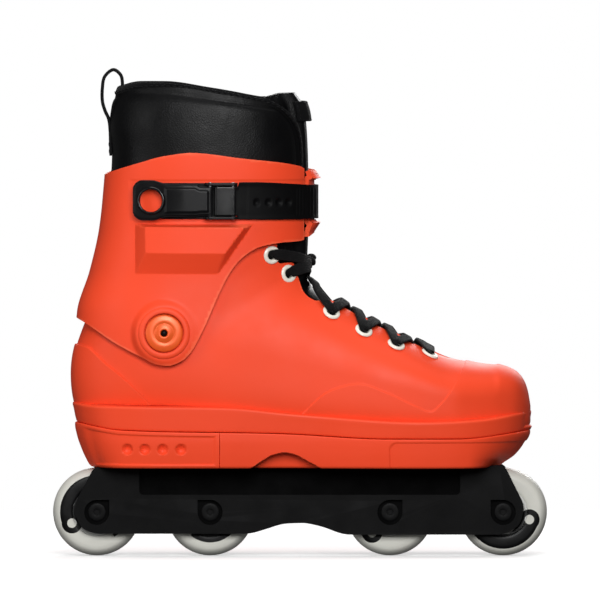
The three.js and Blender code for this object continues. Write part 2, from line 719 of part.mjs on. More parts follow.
function addPivot(name, side) {
  const bolt = addPart(`cuff_bolt_${name}`, cuffBoltBody(), BOLT_ORANGE);
  const nut = addPart(`cuff_nut_${name}`, cuffNutBody(), DARK_STEEL);
  [bolt, nut].forEach((mesh) => {
    mesh.position.copy(PIVOT);
    if (side > 0) mesh.rotation.x = Math.PI;
  });
}

// The y of the cuff's outer side at (x, z).
const cuffSideY = (x, z) => ovalPoint(ovalAngle(x, z), z).y;

function buckleBaseBody() {
  const plate = solid(ovalSheet({
    start: ovalAngle(-42, 235),
    end: ovalAngle(-90, 235),
    columns: 10,
    rows: 1,
    bottom: () => 223,
    top: () => 247,
    outer: 1.2,
    inner: GAP,
  }));
  const ears = [[222.9, 224.8], [245.2, 247.1]].map(([z0, z1]) => (
    planPrism([[-63, -50.3], [-41, -49.6], [-41, -56], [-42, -56.8], [-61, -56.8], [-63, -55]], z0, z1)
  ));
  const pins = [LEVER_PIN_X, TRIGGER_PIN_X].map((x) => rod(1.45, 200, 270, x, BUCKLE_PIN_Y, 12, true));
  return cut(join([plate, ...ears]), [...pins, rod(1.9, -60, -40, BUCKLE_SCREW.x, BUCKLE_SCREW.z, 10)]);
}

// The lever: a curved plate with a finger hole at its end and a barrel round its pin.
function leverBody() {
  const plan = [
    [-58, -56.8], [-75, -56.6], [-88, -54.8], [-99, -51.6], [-109.8, -48.4],
    [-109.2, -45.6], [-98, -49], [-87, -52], [-75, -53.6], [-60, -53.6],
  ];
  const outline = [
    [-57.5, 225.2], [-66, 225.2], [-67, 224.7], [-88, 224.7], [-92, 223.4], [-95, 222.2], [-106.5, 222.2],
    [-110, 225.5], [-110, 245.5], [-106.5, 248.8], [-95, 248.8], [-92, 247.6], [-88, 246.4], [-67, 246.4],
    [-66, 244.8], [-57.5, 244.8],
  ];
  const plate = planPrism(plan, 220, 250).intersect(sidePrism(outline, -60, -40));
  const barrel = rod(2.2, 225.2, 244.8, LEVER_PIN_X, BUCKLE_PIN_Y, 16, true);
  return cut(join([plate, barrel]), [
    rod(7.3, -60, -40, -98.1, 235.2, 20),
    rod(1.45, 220, 250, LEVER_PIN_X, BUCKLE_PIN_Y, 12, true),
  ]);
}

function triggerBody() {
  const plan = [
    [-56.2, -56.8], [-42, -56.8], [-41.8, -54.2], [-43.4, -52.7], [-56.2, -52.7],
  ];
  return cut(planPrism(plan.reverse(), 225.1, 244.9), [
    rod(1.45, 220, 250, TRIGGER_PIN_X, BUCKLE_PIN_Y, 12, true),
  ]);
}

function strapBody() {
  const lateral = ovalAngle(-75, 235);
  const nearBuckle = ovalAngle(-36, 235);
  const clearance = (angle) => lerp(0.6, 1.5, clamp((angle - nearBuckle + 8) / 16, 0, 1));
  const strap = solid(ovalSheet({
    start: -ovalAngle(STRAP_SCREW.x - 8, 235),
    end: lateral,
    columns: 34,
    rows: 1,
    bottom: () => STRAP_BOTTOM,
    top: () => STRAP_TOP,
    outer: (angle) => clearance(angle) + lerp(2.4, 1.2, clamp((angle - nearBuckle + 8) / 16, 0, 1)),
    inner: clearance,
  }));
  const slim = block(-80, -38, -60, -40, 200, 225.1);
  const slimTop = block(-80, -38, -60, -40, 244.9, 260);
  return cut(strap, [slim, slimTop, rod(1.9, 40, 60, STRAP_SCREW.x, STRAP_SCREW.z, 10)]);
}

function screwBody(x, z, side, seat, radius) {
  const profile = [
    [0, 0], [1.8, 0], [1.8, 5.2], [radius, 5.2], [radius, 6], [radius * 0.6, 6.6], [0, 6.6],
  ];
  const lathe = new THREE.LatheGeometry(profile.map(([r, y]) => new THREE.Vector2(r, y)), 12);
  if (side < 0) lathe.rotateX(Math.PI);
  return solid(lathe.translate(x, seat - side * 5.2, z));
}

// ---------------------------------------------------------------- frame and wheels

function frameBody() {
  const shell = sidePrism(FRAME_OUTLINE, -FRAME_HALF_WIDTH, FRAME_HALF_WIDTH);
  const bosses = AXLE_X.flatMap((x) => [[-13.5, -12.2], [12.2, 13.5]].map(([y0, y1]) => (
    rod(6.5, y0, y1, x, AXLE_Z, 10)
  )));
  const channel = sidePrism([
    [-160, -5], [-27.5, -5], [-27.5, 26], [-12, 27.5], [12, 27.5], [27.5, 24], [27.5, -5], [160, -5],
    [160, DECK_BOTTOM], [-160, DECK_BOTTOM],
  ], -FRAME_SLOT, FRAME_SLOT);
  const windows = AXLE_X.map((x) => block(x - 15.5, x + 15.5, -FRAME_SLOT, FRAME_SLOT, 50, 70));
  const recesses = [[-30, -17], [17, 30]].map(([y0, y1]) => block(-106, 105.6, y0, y1, 40.6, 70));
  const pockets = AXLE_X.flatMap((x, i) => [[-20, -16], [16, 20]].flatMap(([y0, y1]) => {
    const corner = i === 0 ? 1 : -1;
    const square = block(Math.min(x, x + corner * 7.6), Math.max(x, x + corner * 7.6), y0, y1, AXLE_Z, AXLE_Z + 7.6);
    return [rod(8.25, y0, y1, x, AXLE_Z, 14), square];
  }));
  const axleHoles = AXLE_X.map((x) => rod(AXLE_RADIUS + 0.15, -20, 20, x, AXLE_Z, 12));
  const boltHoles = FRAME_BOLT_X.flatMap((x) => [
    rod(3.3, 40, 70, x, 0, 10, true),
    rod(6, 40, 56.2, x, 0, 12, true),
  ]);
  const wells = AXLE_X.map((x) => rod(WHEEL_RADIUS + 1.6, -FRAME_SLOT, FRAME_SLOT, x, AXLE_Z, 24));
  const hollowed = cut(shell, [channel, ...windows, ...wells]);
  return cut(join([hollowed, ...bosses]), [...recesses, ...pockets, ...axleHoles, ...boltHoles]);
}

function frameBoltBody(top) {
  const profile = [[0, 53.4], [2, 53.4], [5.6, 54], [5.6, 56], [3, 56], [3, top], [0, top]];
  const lathe = new THREE.LatheGeometry(profile.map(([r, y]) => new THREE.Vector2(r, y)), 12);
  return solid(lathe.rotateX(Math.PI / 2));
}

function tyreBody() {
  const toFlat = 1 / Math.cos(Math.PI / 24);
  const half = [[HUB_RADIUS + 0.05, 11.8], [22, WHEEL_HALF_WIDTH], [26.6, 9.4], [WHEEL_RADIUS, 4.8]];
  const profile = [...half.map(([r, y]) => [r * toFlat, y]), ...half.map(([r, y]) => [r * toFlat, -y]).reverse()];
  return turned([...profile, profile[0]], 24);
}

function hubBody() {
  const half = [[BEARING_RADIUS + 0.05, 11.9], [HUB_RADIUS - 0.2, 11.5]];
  const inner = [[8.6, -4.9], [8.6, 4.9], [BEARING_RADIUS + 0.05, 4.9]];
  const profile = [
    ...half, ...half.map(([r, y]) => [r, -y]).reverse(), [BEARING_RADIUS + 0.05, -4.9], ...inner,
  ];
  return turned([...profile, profile[0]], 14);
}

function bearingBody() {
  const half = BEARING_WIDTH / 2;
  const profile = [[BEARING_BORE_RADIUS, -half], [BEARING_RADIUS - 0.05, -half], [BEARING_RADIUS - 0.05, half],
    [BEARING_BORE_RADIUS, half], [BEARING_BORE_RADIUS, -half]];
  return turned(profile, 14);
}

// A two-sided axle with button heads, and the spacer that keeps its bearings apart.
function axleBody() {
  const half = [[0, 17.4], [2.4, 18.2], [6, 17.8], [6, 16.2], [AXLE_RADIUS, 16.2], [AXLE_RADIUS, 4.8], [6, 4.8]];
  return turned([...half, ...half.map(([r, y]) => [r, -y]).reverse()], 14);
}

function addWheel(number, x) {
  const parts = [
    addPart(`tyre_${number}`, tyreBody(), URETHANE),
    addPart(`wheel_hub_${number}`, hubBody(), HUB_WHITE),
    addPart(`axle_${number}`, axleBody(), DARK_STEEL),
  ];
  [["a", -1], ["b", 1]].forEach(([letter, side]) => {
    const bearing = addPart(`bearing_${number}${letter}`, bearingBody(), STEEL);
    bearing.position.y = side * (5 + BEARING_WIDTH / 2);
    parts.push(bearing);
  });
  parts.forEach((mesh) => {
    mesh.position.x = x;
    mesh.position.z = AXLE_Z;
  });
}

// ---------------------------------------------------------------- assembly

addPart("boot_shell", shellBody(), ORANGE);
addPart("soul_plate_rear", solePlateBody(-200, SOLE_SPLIT_X - 0.2), ORANGE);
addPart("soul_plate_front", solePlateBody(SOLE_SPLIT_X, 200), ORANGE);
addPart("heel_shock_pad", heelPadBody(), FOAM);
addPart("insole", insoleBody(), FOAM);
addPart("liner_foot", linerFootBody(), BLACK_FABRIC);
addPart("tongue_lower", tongueLowerBody(), BLACK_FABRIC);
EYELETS.forEach(([x, z], i) => {
  addPart(`eyelet_${2 * i + 1}`, eyeletBody(x, z, -1), CREAM);
  addPart(`eyelet_${2 * i + 2}`, eyeletBody(x, z, 1), CREAM);
});
addPart("lace", laceBody(), BLACK_FABRIC);

addPart("cuff", cuffBody(), ORANGE);
addPart("liner_cuff", linerCuffBody(), BLACK_LEATHER);
addPart("tongue_upper", tongueUpperBody(), BLACK_LEATHER);
addPart("tongue_tab", tongueTabBody(), BLACK_FABRIC);
addPart("pull_loop", pullLoopBody(), BLACK_FABRIC);
addPivot("outer", -1);
addPivot("inner", 1);

addPart("buckle_base", buckleBaseBody(), BLACK_PLASTIC);
addPart("buckle_lever", leverBody(), BLACK_PLASTIC);
addPart("buckle_trigger", triggerBody(), BLACK_PLASTIC);
addPart("buckle_lever_pin", rod(1.4, 222.4, 247.6, LEVER_PIN_X, BUCKLE_PIN_Y, 12, true), STEEL);
addPart("buckle_trigger_pin", rod(1.4, 222.4, 247.6, TRIGGER_PIN_X, BUCKLE_PIN_Y, 12, true), STEEL);
addPart("ladder_strap", strapBody(), BLACK_PLASTIC);
addPart(
  "buckle_screw",
  screwBody(BUCKLE_SCREW.x, BUCKLE_SCREW.z, -1, cuffSideY(BUCKLE_SCREW.x, 235) - 2.1, 3.2),
  STEEL,
);
addPart(
  "strap_screw",
  screwBody(STRAP_SCREW.x, STRAP_SCREW.z, 1, -cuffSideY(STRAP_SCREW.x, 235) + 4.1, 4),
  STEEL,
);

addPart("frame", frameBody(), BLACK_PLASTIC);
addPart("frame_bolt_rear", frameBoltBody(83), STEEL).position.x = FRAME_BOLT_X[0];
addPart("frame_bolt_front", frameBoltBody(80.5), STEEL).position.x = FRAME_BOLT_X[1];
AXLE_X.forEach((x, i) => addWheel(i + 1, x));

export default skate;
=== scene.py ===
"""An aggressive inline skate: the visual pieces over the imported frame, their materials, lights and camera.

Lengths in the tables are millimetres, as in the CAD. +X points to the toe, -Y to the outer side, +Z up.
"""
import math
from contextlib import contextmanager

import bmesh
import bpy
import numpy as np
from mathutils import Matrix, Vector

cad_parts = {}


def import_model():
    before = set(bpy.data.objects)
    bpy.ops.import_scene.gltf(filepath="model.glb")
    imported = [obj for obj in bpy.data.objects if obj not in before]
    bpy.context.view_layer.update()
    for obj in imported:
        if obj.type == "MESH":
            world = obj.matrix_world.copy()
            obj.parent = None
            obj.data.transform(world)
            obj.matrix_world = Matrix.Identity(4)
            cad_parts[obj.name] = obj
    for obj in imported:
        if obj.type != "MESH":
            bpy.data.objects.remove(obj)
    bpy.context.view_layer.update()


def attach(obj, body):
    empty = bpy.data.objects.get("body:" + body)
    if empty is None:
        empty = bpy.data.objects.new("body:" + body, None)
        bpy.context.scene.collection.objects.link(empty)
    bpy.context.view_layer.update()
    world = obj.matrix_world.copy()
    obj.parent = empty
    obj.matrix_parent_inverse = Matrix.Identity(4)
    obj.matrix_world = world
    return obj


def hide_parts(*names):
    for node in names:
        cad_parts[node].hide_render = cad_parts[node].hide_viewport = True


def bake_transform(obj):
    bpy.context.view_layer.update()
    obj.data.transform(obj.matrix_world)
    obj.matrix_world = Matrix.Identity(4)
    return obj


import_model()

# ---------------------------------------------------------------- driving dimensions

MM = 0.001

# Wheels and frame
WHEEL_RADIUS = 29
AXLE_RADIUS = 4
AXLE_X = [-134, -59.3, 59.3, 134]
AXLE_Z = 29
FRAME_HALF_WIDTH = 19
FRAME_SLOT = 13
FRAME_BOLT_X = [-82.5, 82.5]
DECK_BOTTOM = 51.5

# Sole plates and shell
SOLE_BOTTOM = 58.6
SOLE_SPLIT_X = -52.9
SOLE_GAP = 0.04
SPLIT_CHAMFER = 0.9
PANEL_INSET = 0.9
FRONT_PANEL_INSET = 0.7
ARCH_DEPTH = 9.0
DIMPLE_X = [-114.2, -102.3, -90.4, -78.3]
DIMPLE_Z = 71.3
DIMPLE_RADIUS = 3.7
DIMPLE_DEPTH = 2.7
SHELL_WALL = 3.6
PANEL_EDGE = 0.45
COUNTER_RELIEF = 1.5
FOREFOOT_RELIEF = 0.75
TOE_CAP_RELIEF = 0.8
ANKLE_OPENING = 4.5

# Cuff and its pivot bolts
CUFF_WALL = 3.4
CUFF_POWER = 2.4
RIB_HEIGHT = 4.2
PIVOT_X = -89.4
PIVOT_Z = 148
BOSS_SEAT_RADIUS = 14
BOSS_SEAT_Y = 49.2
BOSS_RIM_Y = 50.9

# Liner and tongue, with the heights given for each to bend from the shell to the cuff, though nothing here
# bends them
LINER_WALL = 5.6
LINER_BEND_Z = [176, 212]
TONGUE_BEND_Z = [200, 216]
TONGUE_HALF_ANGLE = 48
TONGUE_TOP = 305.5
TONGUE_THICKNESS = 5.4
TONGUE_CHANNELS = 17
TONGUE_ROWS = 190
SEAM_INSET = 7.0
SEAM_WIDTH = 0.8

# Strap and buckle
STRAP_Z = 235.0
STRAP_BOTTOM = 222.8
STRAP_CLEARANCE = 0.6
STRAP_THICKNESS = 2.4
STRAP_TOP_LINE = [[-80, 247.4], [-32, 247.4], [12, 244.7]]
STRAP_DIMPLE_X = [-29.4, -22, -15.2, -9.2]
BUCKLE_PIN_Y = -54.6
LEVER_PIN_X = -59
TRIGGER_PIN_X = -44

# Eyelets as x and z, lace and pull loop
EYELETS = [[-18.7, 199.1], [-7.7, 186.6], [20.6, 161.1], [41.9, 149.1], [63.2, 139.8], [85.4, 133.3]]
EYELET_BARREL = 3.9
LACE_WIDTH = 7
LACE_THICKNESS = 1.8
LACE_LIFT = 2.6
LACE_SAG = 2.4
LACE_DIP = 4.2
LOOP_WIDTH = 16
LOOP_THICKNESS = 2.2

# The black swirl printed on the wheels: a ring segment whose tail tapers, with a dotted round head.
# Its angles are radians, clockwise from the head; the angles of the four wheels are degrees.
WHEEL_PRINT_ANGLES = [204, 128, 229, -16]
PRINT_COLOR = (0.0015, 0.0015, 0.0018)
PRINT_INNER_RADII = [11.4, 14.6]
PRINT_OUTER_RADIUS = 24.4
PRINT_TAPER = 4.2
PRINT_TAPER_ANGLES = [2.2, 3.0]
PRINT_END = 4.5
PRINT_HEAD_X = 18
PRINT_HEAD_RADIUS = 6.8
PRINT_DOT_RADIUS = 3.1
PRINT_BLUR = 0.2

# Camera and floor, in metres and degrees; the sensor in millimetres
VIEW_WIDTH = 0.396
CAMERA_DISTANCE = 15
CAMERA_ELEVATION = 1.5
AIM = Vector((0, 0, 0.1686))
SENSOR_WIDTH = 36
FLOOR_RADIUS = 0.9

# The boot as a sock of rings, each in a plane across the foot from a crest point on the instep to a
# base point on the sole or the heel: crest x, crest z, base x, base z, half width, sideways shift,
# crest power and base power of its superellipse. CREST_POWER is the crest power behind the toes.
CREST_POWER = 2.3
SOCK = [
    [152.2, 99, 152.2, 88, 6, 8, 2.2, 2.2],
    [151, 106, 151, 84, 14, 7.5, 2.2, 2.6],
    [148.5, 113, 148.5, 82.8, 21, 7, 2.3, 3],
    [142.6, 120.8, 142.6, 81.8, 30, 6, 2.4, 3.5],
    [132, 125.3, 132, 80.9, 38, 5.2, 2.5, 4],
    [115, 127.5, 115, 79.2, 46, 4.4, 2.4, 4.5],
    [98, 130.5, 98, 78.4, 50.5, 3.4, 2.3, 4.5],
    [80, 139, 76, 78.4, 51.5, 2.2, 2.3, 4.5],
    [60, 149, 50, 78.9, 49.5, 1.4, 2.3, 4.5],
    [40, 160, 20, 80.4, 46, 0.4, 2.3, 4.5],
    [22, 171.5, -14, 81.8, 43.5, -0.6, 2.3, 4.5],
    [11, 179, -50, 82.7, 43.5, -0.8, 2.3, 4.2],
    [7, 185, -85, 83.4, 44.5, -0.6, 2.3, 3.6],
    [6, 190, -118, 84.1, 45, -0.2, 2.3, 2.9],
    [5.5, 194, -143.5, 88.6, 44.6, 0, 2.3, 2.4],
    [5.5, 198, -149, 103, 44.2, 0, 2.3, 2.3],
    [5.5, 202, -150.6, 123, 43.8, 0, 2.3, 2.3],
    [5.5, 205, -147.8, 138, 43.5, 0, 2.3, 2.3],
    [5.5, 208, -145, 146, 43.5, 0, 2.3, 2.3],
    [5.5, 211, -142, 154, 43.5, 0, 2.3, 2.3],
    [5.5, 215, -137.5, 166, 43.5, 0, 2.3, 2.3],
    [5.5, 240, -132, 188, 43.5, 0, 2.3, 2.3],
]

# The sole's outline from above: x, outer edge y, inner edge y.
PLAN = [
    [-148.3, -6, 6], [-146.5, -15, 15], [-141, -26, 25], [-131, -36.5, 34.5], [-115, -43.5, 41],
    [-95, -46.5, 44.5], [-60, -46, 43], [-20, -45, 41.5], [10, -45.5, 44], [40, -49, 50],
    [70, -51.8, 55.5], [92, -51, 57.5], [110, -47.5, 55], [125, -41, 49.5], [137, -32, 42],
    [145, -21, 32], [149.5, -9, 22], [151.8, 2, 13],
]
SOLE_TOP_LINE = [[-148.3, 88.3], [-118, 83.7], [-13, 81.5], [57.4, 78.1], [104.7, 78.1], [151.8, 82.9]]
BAND_TOP_LINE = [
    [-150, 101.8], [-137, 99.9], [-52, 98.8], [0, 94.2], [81, 89.3], [116, 90.5], [152, 95.8],
]
# How far the sole plates lie inside the plan at each height, at the sides, the heel and the toe.
SIDE_TUCK = [[58.6, 3.4], [62, 2.6], [70, 1.1], [78, 0.2], [90, 0]]
HEEL_TUCK = [[58.6, 10.5], [62, 8.4], [70, 4.6], [80, 1.2], [86.5, 0], [90, 0]]
TOE_TUCK = [[58.6, 20], [61, 17], [66, 9.8], [73.5, 3.8], [81.5, 0], [90, 0]]

ARCH_LINE = [
    [-60, 50], [-34, 58], [-29, 60.6], [-24, 64], [-18, 67.4], [-10, 69], [-3, 67.6], [3, 64.4], [9, 61],
    [15, 58], [60, 50],
]
# The corners of the inset panels, as x and z.
REAR_PANEL = [-56.2, 61.2]
FRONT_PANEL = [58.7, 75.8]

# Lines on the shell, as height against x.
HEEL_COUNTER_LINE = [
    [-160, 139.8], [-147.8, 139.6], [-141, 138.7], [-128, 128], [-113, 115.5], [-97.8, 99.9], [-88, 86],
]
FOREFOOT_LINE = [
    [-12, 76], [2, 95], [22, 111], [39, 114.6], [57, 108.8], [75, 100.5], [86, 96.4], [93, 101.7],
    [101, 112.3], [112, 132], [152, 160],
]
SHELL_TOP_LINE = [[-160, 165], [-100, 172], [-60, 188], [-45, 198], [-38, 202], [-26, 206.5], [20, 208.5]]
LINER_FOOT_TOP_LINE = [[-160, 163], [-100, 169], [-60, 180], [-38, 193], [-26, 196], [20, 197]]
# Half the width of the shell's throat against x.
THROAT = [
    [-60, 24], [-24, 26], [-17, 30], [-14, 31.5], [-9, 28.3], [-3, 24.3], [-1, 24.5], [2, 27.5], [5.5, 28.3],
    [9.5, 28], [14, 25], [20, 20], [26, 18], [40, 17], [60, 15.5], [80, 13], [90, 10],
    [97, 5], [99, 1],
]

# The cuff's outer oval at each height, and its edges.
CUFF_REAR = [
    [120, -148.5], [150, -148], [161, -147.2], [188, -138.9], [216, -132.6], [235, -130.4], [266, -128.4],
    [272, -128.8], [283, -130], [300, -128], [308, -125.8], [314, -121],
]
CUFF_FRONT = [[120, 9.5], [256, 9.5], [275, 8.8], [290, 7.6], [304, 3], [314, -6]]
CUFF_HALF_WIDTH = [[120, 49.8], [148, 50], [190, 48.6], [235, 49], [266, 50.5], [290, 50], [314, 46.5]]
CUFF_BOTTOM_LINE = [
    [-148, 157.5], [-143.2, 155.1], [-120.7, 140.6], [-102.5, 131.2], [-95, 127.6], [-87, 126.5],
    [-77.6, 129.8], [-71.5, 135.9], [-64.1, 149.4], [-52.8, 175], [-45.7, 188.4], [-38.3, 197.3],
    [-26.2, 204.7], [-12, 207.4], [0.7, 208.4], [10, 213.5],
]
CUFF_TOP_LINE = [
    [-130, 251.2], [-123.6, 254.1], [-105.3, 260.1], [-90.2, 264.3], [-71.3, 266.6], [-39.6, 263.1],
    [0.3, 257.5], [4.1, 255.4], [10, 254.5],
]
# The raised pad under the strap and the bed that the strap lies in: where each edge starts, and how
# wide its bevel is.
PAD_HEIGHT = 7.6
PAD_REAR = [-108.5, 9]
PAD_FRONT = [-33, 5]
PAD_FRONT_LEAN = 0.7
PAD_LEAN_Z = 217
PAD_BOTTOM = [187, 13.5]
PAD_TOP = [219.6, 1.8]
BED_DEPTH = 0.3
BED_REAR = [-113, 2.5]
BED_BOTTOM = [220.6, 1.2]
BED_TOP = [249.2, 1.2]
# Where the cuff and its ribs start and end round the oval, in degrees from the front, and the heights
# of each rib's foot, tip and head.
CUFF_START = 27.5
CUFF_END = 380
RIB_START = 331
RIBS = [[213.8, 220.2, 221.4], [248.3, 249.4, 255.6]]

# The liner's collar: its lower edge, its top against x, the angle of its front corners, and the angle
# of its front edges at each height.
LINER_BOTTOM = 172
LINER_TOP_LINE = [
    [-130, 308.5], [-121, 310.5], [-115, 312], [-109, 312.6], [-90, 312.3], [-57.7, 308], [-41.6, 305.5],
    [-22, 302],
]
LINER_CORNER = 53
LINER_FRONT_LINE = [
    [160, 50], [200, 44], [235, 27], [262, 17.8], [271, 18.2], [280, 20.6], [285.5, 24.6], [290, 30],
    [297, 42], [302, 53],
]
# How far the collar lies inside the cuff's oval at each height.
LINER_INSET_LINE = [[160, 15], [172, 13.5], [188, 11.5], [204, 10], [217, 5], [320, 4.7]]
# How far the tongue lies under the shell's surface at each x.
TONGUE_CROWN_LINE = [
    [0, 2.2], [14, 3.2], [24, 4.2], [84, 4.2], [94, 2.4], [99, 0.9], [103, 2.2], [108, 4.2],
]
PULL_LOOP = [
    [-124.7, 264], [-125, 272], [-125.3, 281], [-126.2, 288], [-128.6, 293.5], [-130.4, 300], [-130.4, 308.5],
    [-128.9, 316], [-123.4, 320.6], [-118.6, 317.6], [-117.2, 312.4], [-117.4, 304],
]

# The lever: how far out it lies at each x, its outline from the side, and its hole as x, z and radius.
LEVER_PLAN = [[-109.8, -48.4], [-99, -51.6], [-88, -54.8], [-75, -56.6], [-58, -56.9]]
LEVER_OUTLINE = [
    [-57.5, 225.2], [-66, 225.2], [-67, 224.7], [-87, 224.7], [-92, 223.6], [-95.5, 222.2], [-106, 222.2],
    [-110, 226], [-110, 245], [-106, 248.8], [-95.5, 248.8], [-92, 247.4], [-87, 246.4], [-67, 246.4],
    [-66, 244.8], [-57.5, 244.8],
]
FINGER_HOLE = [-98.1, 235.2, 7.3]

FRAME_OUTLINE = [
    [-135.5, 59.4], [-148, 35.7], [-149.2, 29.1], [-144.2, 18.2], [-135.5, 14.9], [-32.6, 14.9],
    [-21.6, 18.2], [-11.8, 21.5], [0, 22], [4.5, 21.9], [15.1, 19.5], [25.7, 15.4], [31, 14.3],
    [134, 14.3], [144.7, 20.1], [148.2, 33], [134.7, 60.4], [100, 58.3], [-100, 58.3],
]

# ---------------------------------------------------------------- curves and small maths


def smooth_line(rows):
    """A curve through a table's rows, along its rising first column, that never overshoots them."""
    x = np.array([row[0] for row in rows], float)
    y = np.array([row[1] for row in rows], float)
    step = np.diff(x)
    slope = np.diff(y) / step
    tangent = np.zeros(len(x))
    tangent[0], tangent[-1] = slope[0], slope[-1]
    for i in range(1, len(x) - 1):
        if slope[i - 1] * slope[i] > 0:
            before = 2 * step[i] + step[i - 1]
            after = step[i] + 2 * step[i - 1]
            tangent[i] = (before + after) / (before / slope[i - 1] + after / slope[i])

    def value(at):
        at = np.clip(at, x[0], x[-1])
        i = np.clip(np.searchsorted(x, at, side="right") - 1, 0, len(step) - 1)
        t = (at - x[i]) / step[i]
        return (
            (1 + 2 * t) * (1 - t) ** 2 * y[i]
            + t * (1 - t) ** 2 * step[i] * tangent[i]
            + t * t * (3 - 2 * t) * y[i + 1]
            + t * t * (t - 1) * step[i] * tangent[i + 1]
        )

    return value


def smooth_path(points, count, closed=False):
    """`count` evenly spaced points on a Catmull-Rom curve through the points."""
    p = np.array(points, float)
    ends = (p[-1:], p[:2]) if closed else (2 * p[:1] - p[1:2], 2 * p[-1:] - p[-2:-1])
    p = np.concatenate([ends[0], p, ends[1]])
    t = np.linspace(0, 1, 24, endpoint=False)[:, None]
    pieces = []
    for a, b, c, d in zip(p, p[1:], p[2:], p[3:]):
        square = 2 * a - 5 * b + 4 * c - d
        cube = 3 * b - a - 3 * c + d
        pieces.append(0.5 * (2 * b + (c - a) * t + square * t**2 + cube * t**3))
    dense = np.concatenate([*pieces, p[-2:-1]])
    return resample(dense, count, closed)


def distance_along(points):
    """How far along a polyline each of its points lies."""
    return np.concatenate([[0], np.cumsum(np.linalg.norm(np.diff(points, axis=0), axis=1))])


def resample(points, count, closed=False):
    """Points spaced evenly along a polyline. A closed one ends where it starts, so its last is left out."""
    length = distance_along(points)
    at = np.linspace(0, length[-1], count, endpoint=not closed)
    return np.stack([np.interp(at, length, column) for column in points.T], axis=1)


def ramp(value, low, high):
    """0 below `low`, 1 above `high` and smooth between them."""
    t = np.clip((value - low) / (high - low), 0, 1)
    return t * t * (3 - 2 * t)


def signed_power(value, power):
    return np.sign(value) * np.abs(value) ** power


def unit(vectors):
    return vectors / np.maximum(np.linalg.norm(vectors, axis=-1, keepdims=True), 1e-9)


def outline_distance(outline, x, z):
    """How far inside a closed 2D outline each point lies. Outside it is negative."""
    a = np.array(outline, float)
    b = np.roll(a, -1, axis=0)
    p = np.stack([x, z], axis=-1)[..., None, :]
    along = b - a
    t = np.clip(((p - a) * along).sum(-1) / (along**2).sum(-1), 0, 1)
    distance = np.linalg.norm(p - a - along * t[..., None], axis=-1).min(axis=-1)
    above = (a[:, 1] > p[..., 1]) != (b[:, 1] > p[..., 1])
    with np.errstate(divide="ignore", invalid="ignore"):
        crossing = a[:, 0] + (p[..., 1] - a[:, 1]) * along[:, 0] / along[:, 1]
    inside = (above & (p[..., 0] < crossing)).sum(-1) % 2 == 1
    return np.where(inside, distance, -distance)


def rounded(outline, radius, steps=5):
    """A closed 2D outline with each corner turned into an arc that starts up to `radius` from it."""
    points = [np.array(p, float) for p in outline]
    result = []
    for before, corner, after in zip(points[-1:] + points[:-1], points, points[1:] + points[:1]):
        reach_in = min(radius, np.linalg.norm(before - corner) * 0.45)
        reach_out = min(radius, np.linalg.norm(after - corner) * 0.45)
        start = corner + (before - corner) / np.linalg.norm(before - corner) * reach_in
        end = corner + (after - corner) / np.linalg.norm(after - corner) * reach_out
        for t in np.linspace(0, 1, steps):
            result.append(start * (1 - t) ** 2 + corner * 2 * t * (1 - t) + end * t * t)
    return np.array(result)


# ---------------------------------------------------------------- meshes


def add_mesh(name, points, faces, material, uv=None):
    """A smooth-shaded object from points in millimetres."""
    mesh = bpy.data.meshes.new(name)
    mesh.from_pydata([tuple(p) for p in np.asarray(points) * MM], [], [tuple(f) for f in faces])
    if uv is not None:
        layer = mesh.uv_layers.new(name="Along")
        corners = np.zeros(len(mesh.loops), int)
        mesh.loops.foreach_get("vertex_index", corners)
        layer.data.foreach_set("uv", np.asarray(uv, float)[corners].ravel())
    obj = bpy.data.objects.new(name, mesh)
    bpy.context.scene.collection.objects.link(obj)
    mesh.materials.append(material)
    for polygon in mesh.polygons:
        polygon.use_smooth = True
    return obj


def grid_faces(rows, columns, closed=False):
    """Quads of a grid of points; a closed grid joins its last column to its first."""
    faces = []
    for r in range(rows - 1):
        for c in range(columns if closed else columns - 1):
            a, b = r * columns + c, r * columns + (c + 1) % columns
            faces.append((a, b, b + columns, a + columns))
    return faces


def grid_normals(points, closed=False):
    """Unit normals of a grid of points, away from the middle of the whole grid."""
    along = np.gradient(points, axis=0)
    if closed:
        around = np.roll(points, -1, axis=1) - np.roll(points, 1, axis=1)
    else:
        around = np.gradient(points, axis=1)
    normals = unit(np.cross(around, along))
    middle = points.mean(axis=1, keepdims=True)
    return normals if ((points - middle) * normals).sum() > 0 else -normals


def clip(points, faces, values):
    """The part of a mesh where `values` are above 0, its faces cut along the zero line."""
    columns = np.column_stack([points, values])
    added = []
    crossings = {}

    def crossing(a, b):
        key = (min(a, b), max(a, b))
        if key not in crossings:
            p, q = columns[key[0]], columns[key[1]]
            crossings[key] = len(columns) + len(added)
            added.append(p + (q - p) * p[-1] / (p[-1] - q[-1]))
        return crossings[key]

    kept = []
    for face in faces:
        above = [values[i] > 0 for i in face]
        if all(above):
            kept.append(face)
        elif any(above):
            loop = []
            for k, a in enumerate(face):
                b = face[(k + 1) % len(face)]
                if values[a] > 0:
                    loop.append(a)
                if (values[a] > 0) != (values[b] > 0):
                    loop.append(crossing(a, b))
            kept.append(tuple(loop))
    everything = np.vstack([columns, *added]) if added else columns
    return everything[:, :-1], kept


def score(points, faces, values):
    """Cuts a mesh's faces along the line where `values` are 0 and keeps both sides."""
    front_points, front = clip(points, faces, values)
    first = len(points)
    crossings = {tuple(np.round(p, 6)): first + i for i, p in enumerate(front_points[first:])}
    back_points, back = clip(points, faces, -values)
    renumber = {first + i: crossings[tuple(np.round(p, 6))] for i, p in enumerate(back_points[first:])}
    back = [tuple(renumber.get(i, i) for i in face) for face in back]
    return front_points, front + back


@contextmanager
def editing(obj):
    """An object's mesh, open for editing and written back afterwards."""
    bm = bmesh.new()
    bm.from_mesh(obj.data)
    yield bm
    bm.to_mesh(obj.data)
    bm.free()


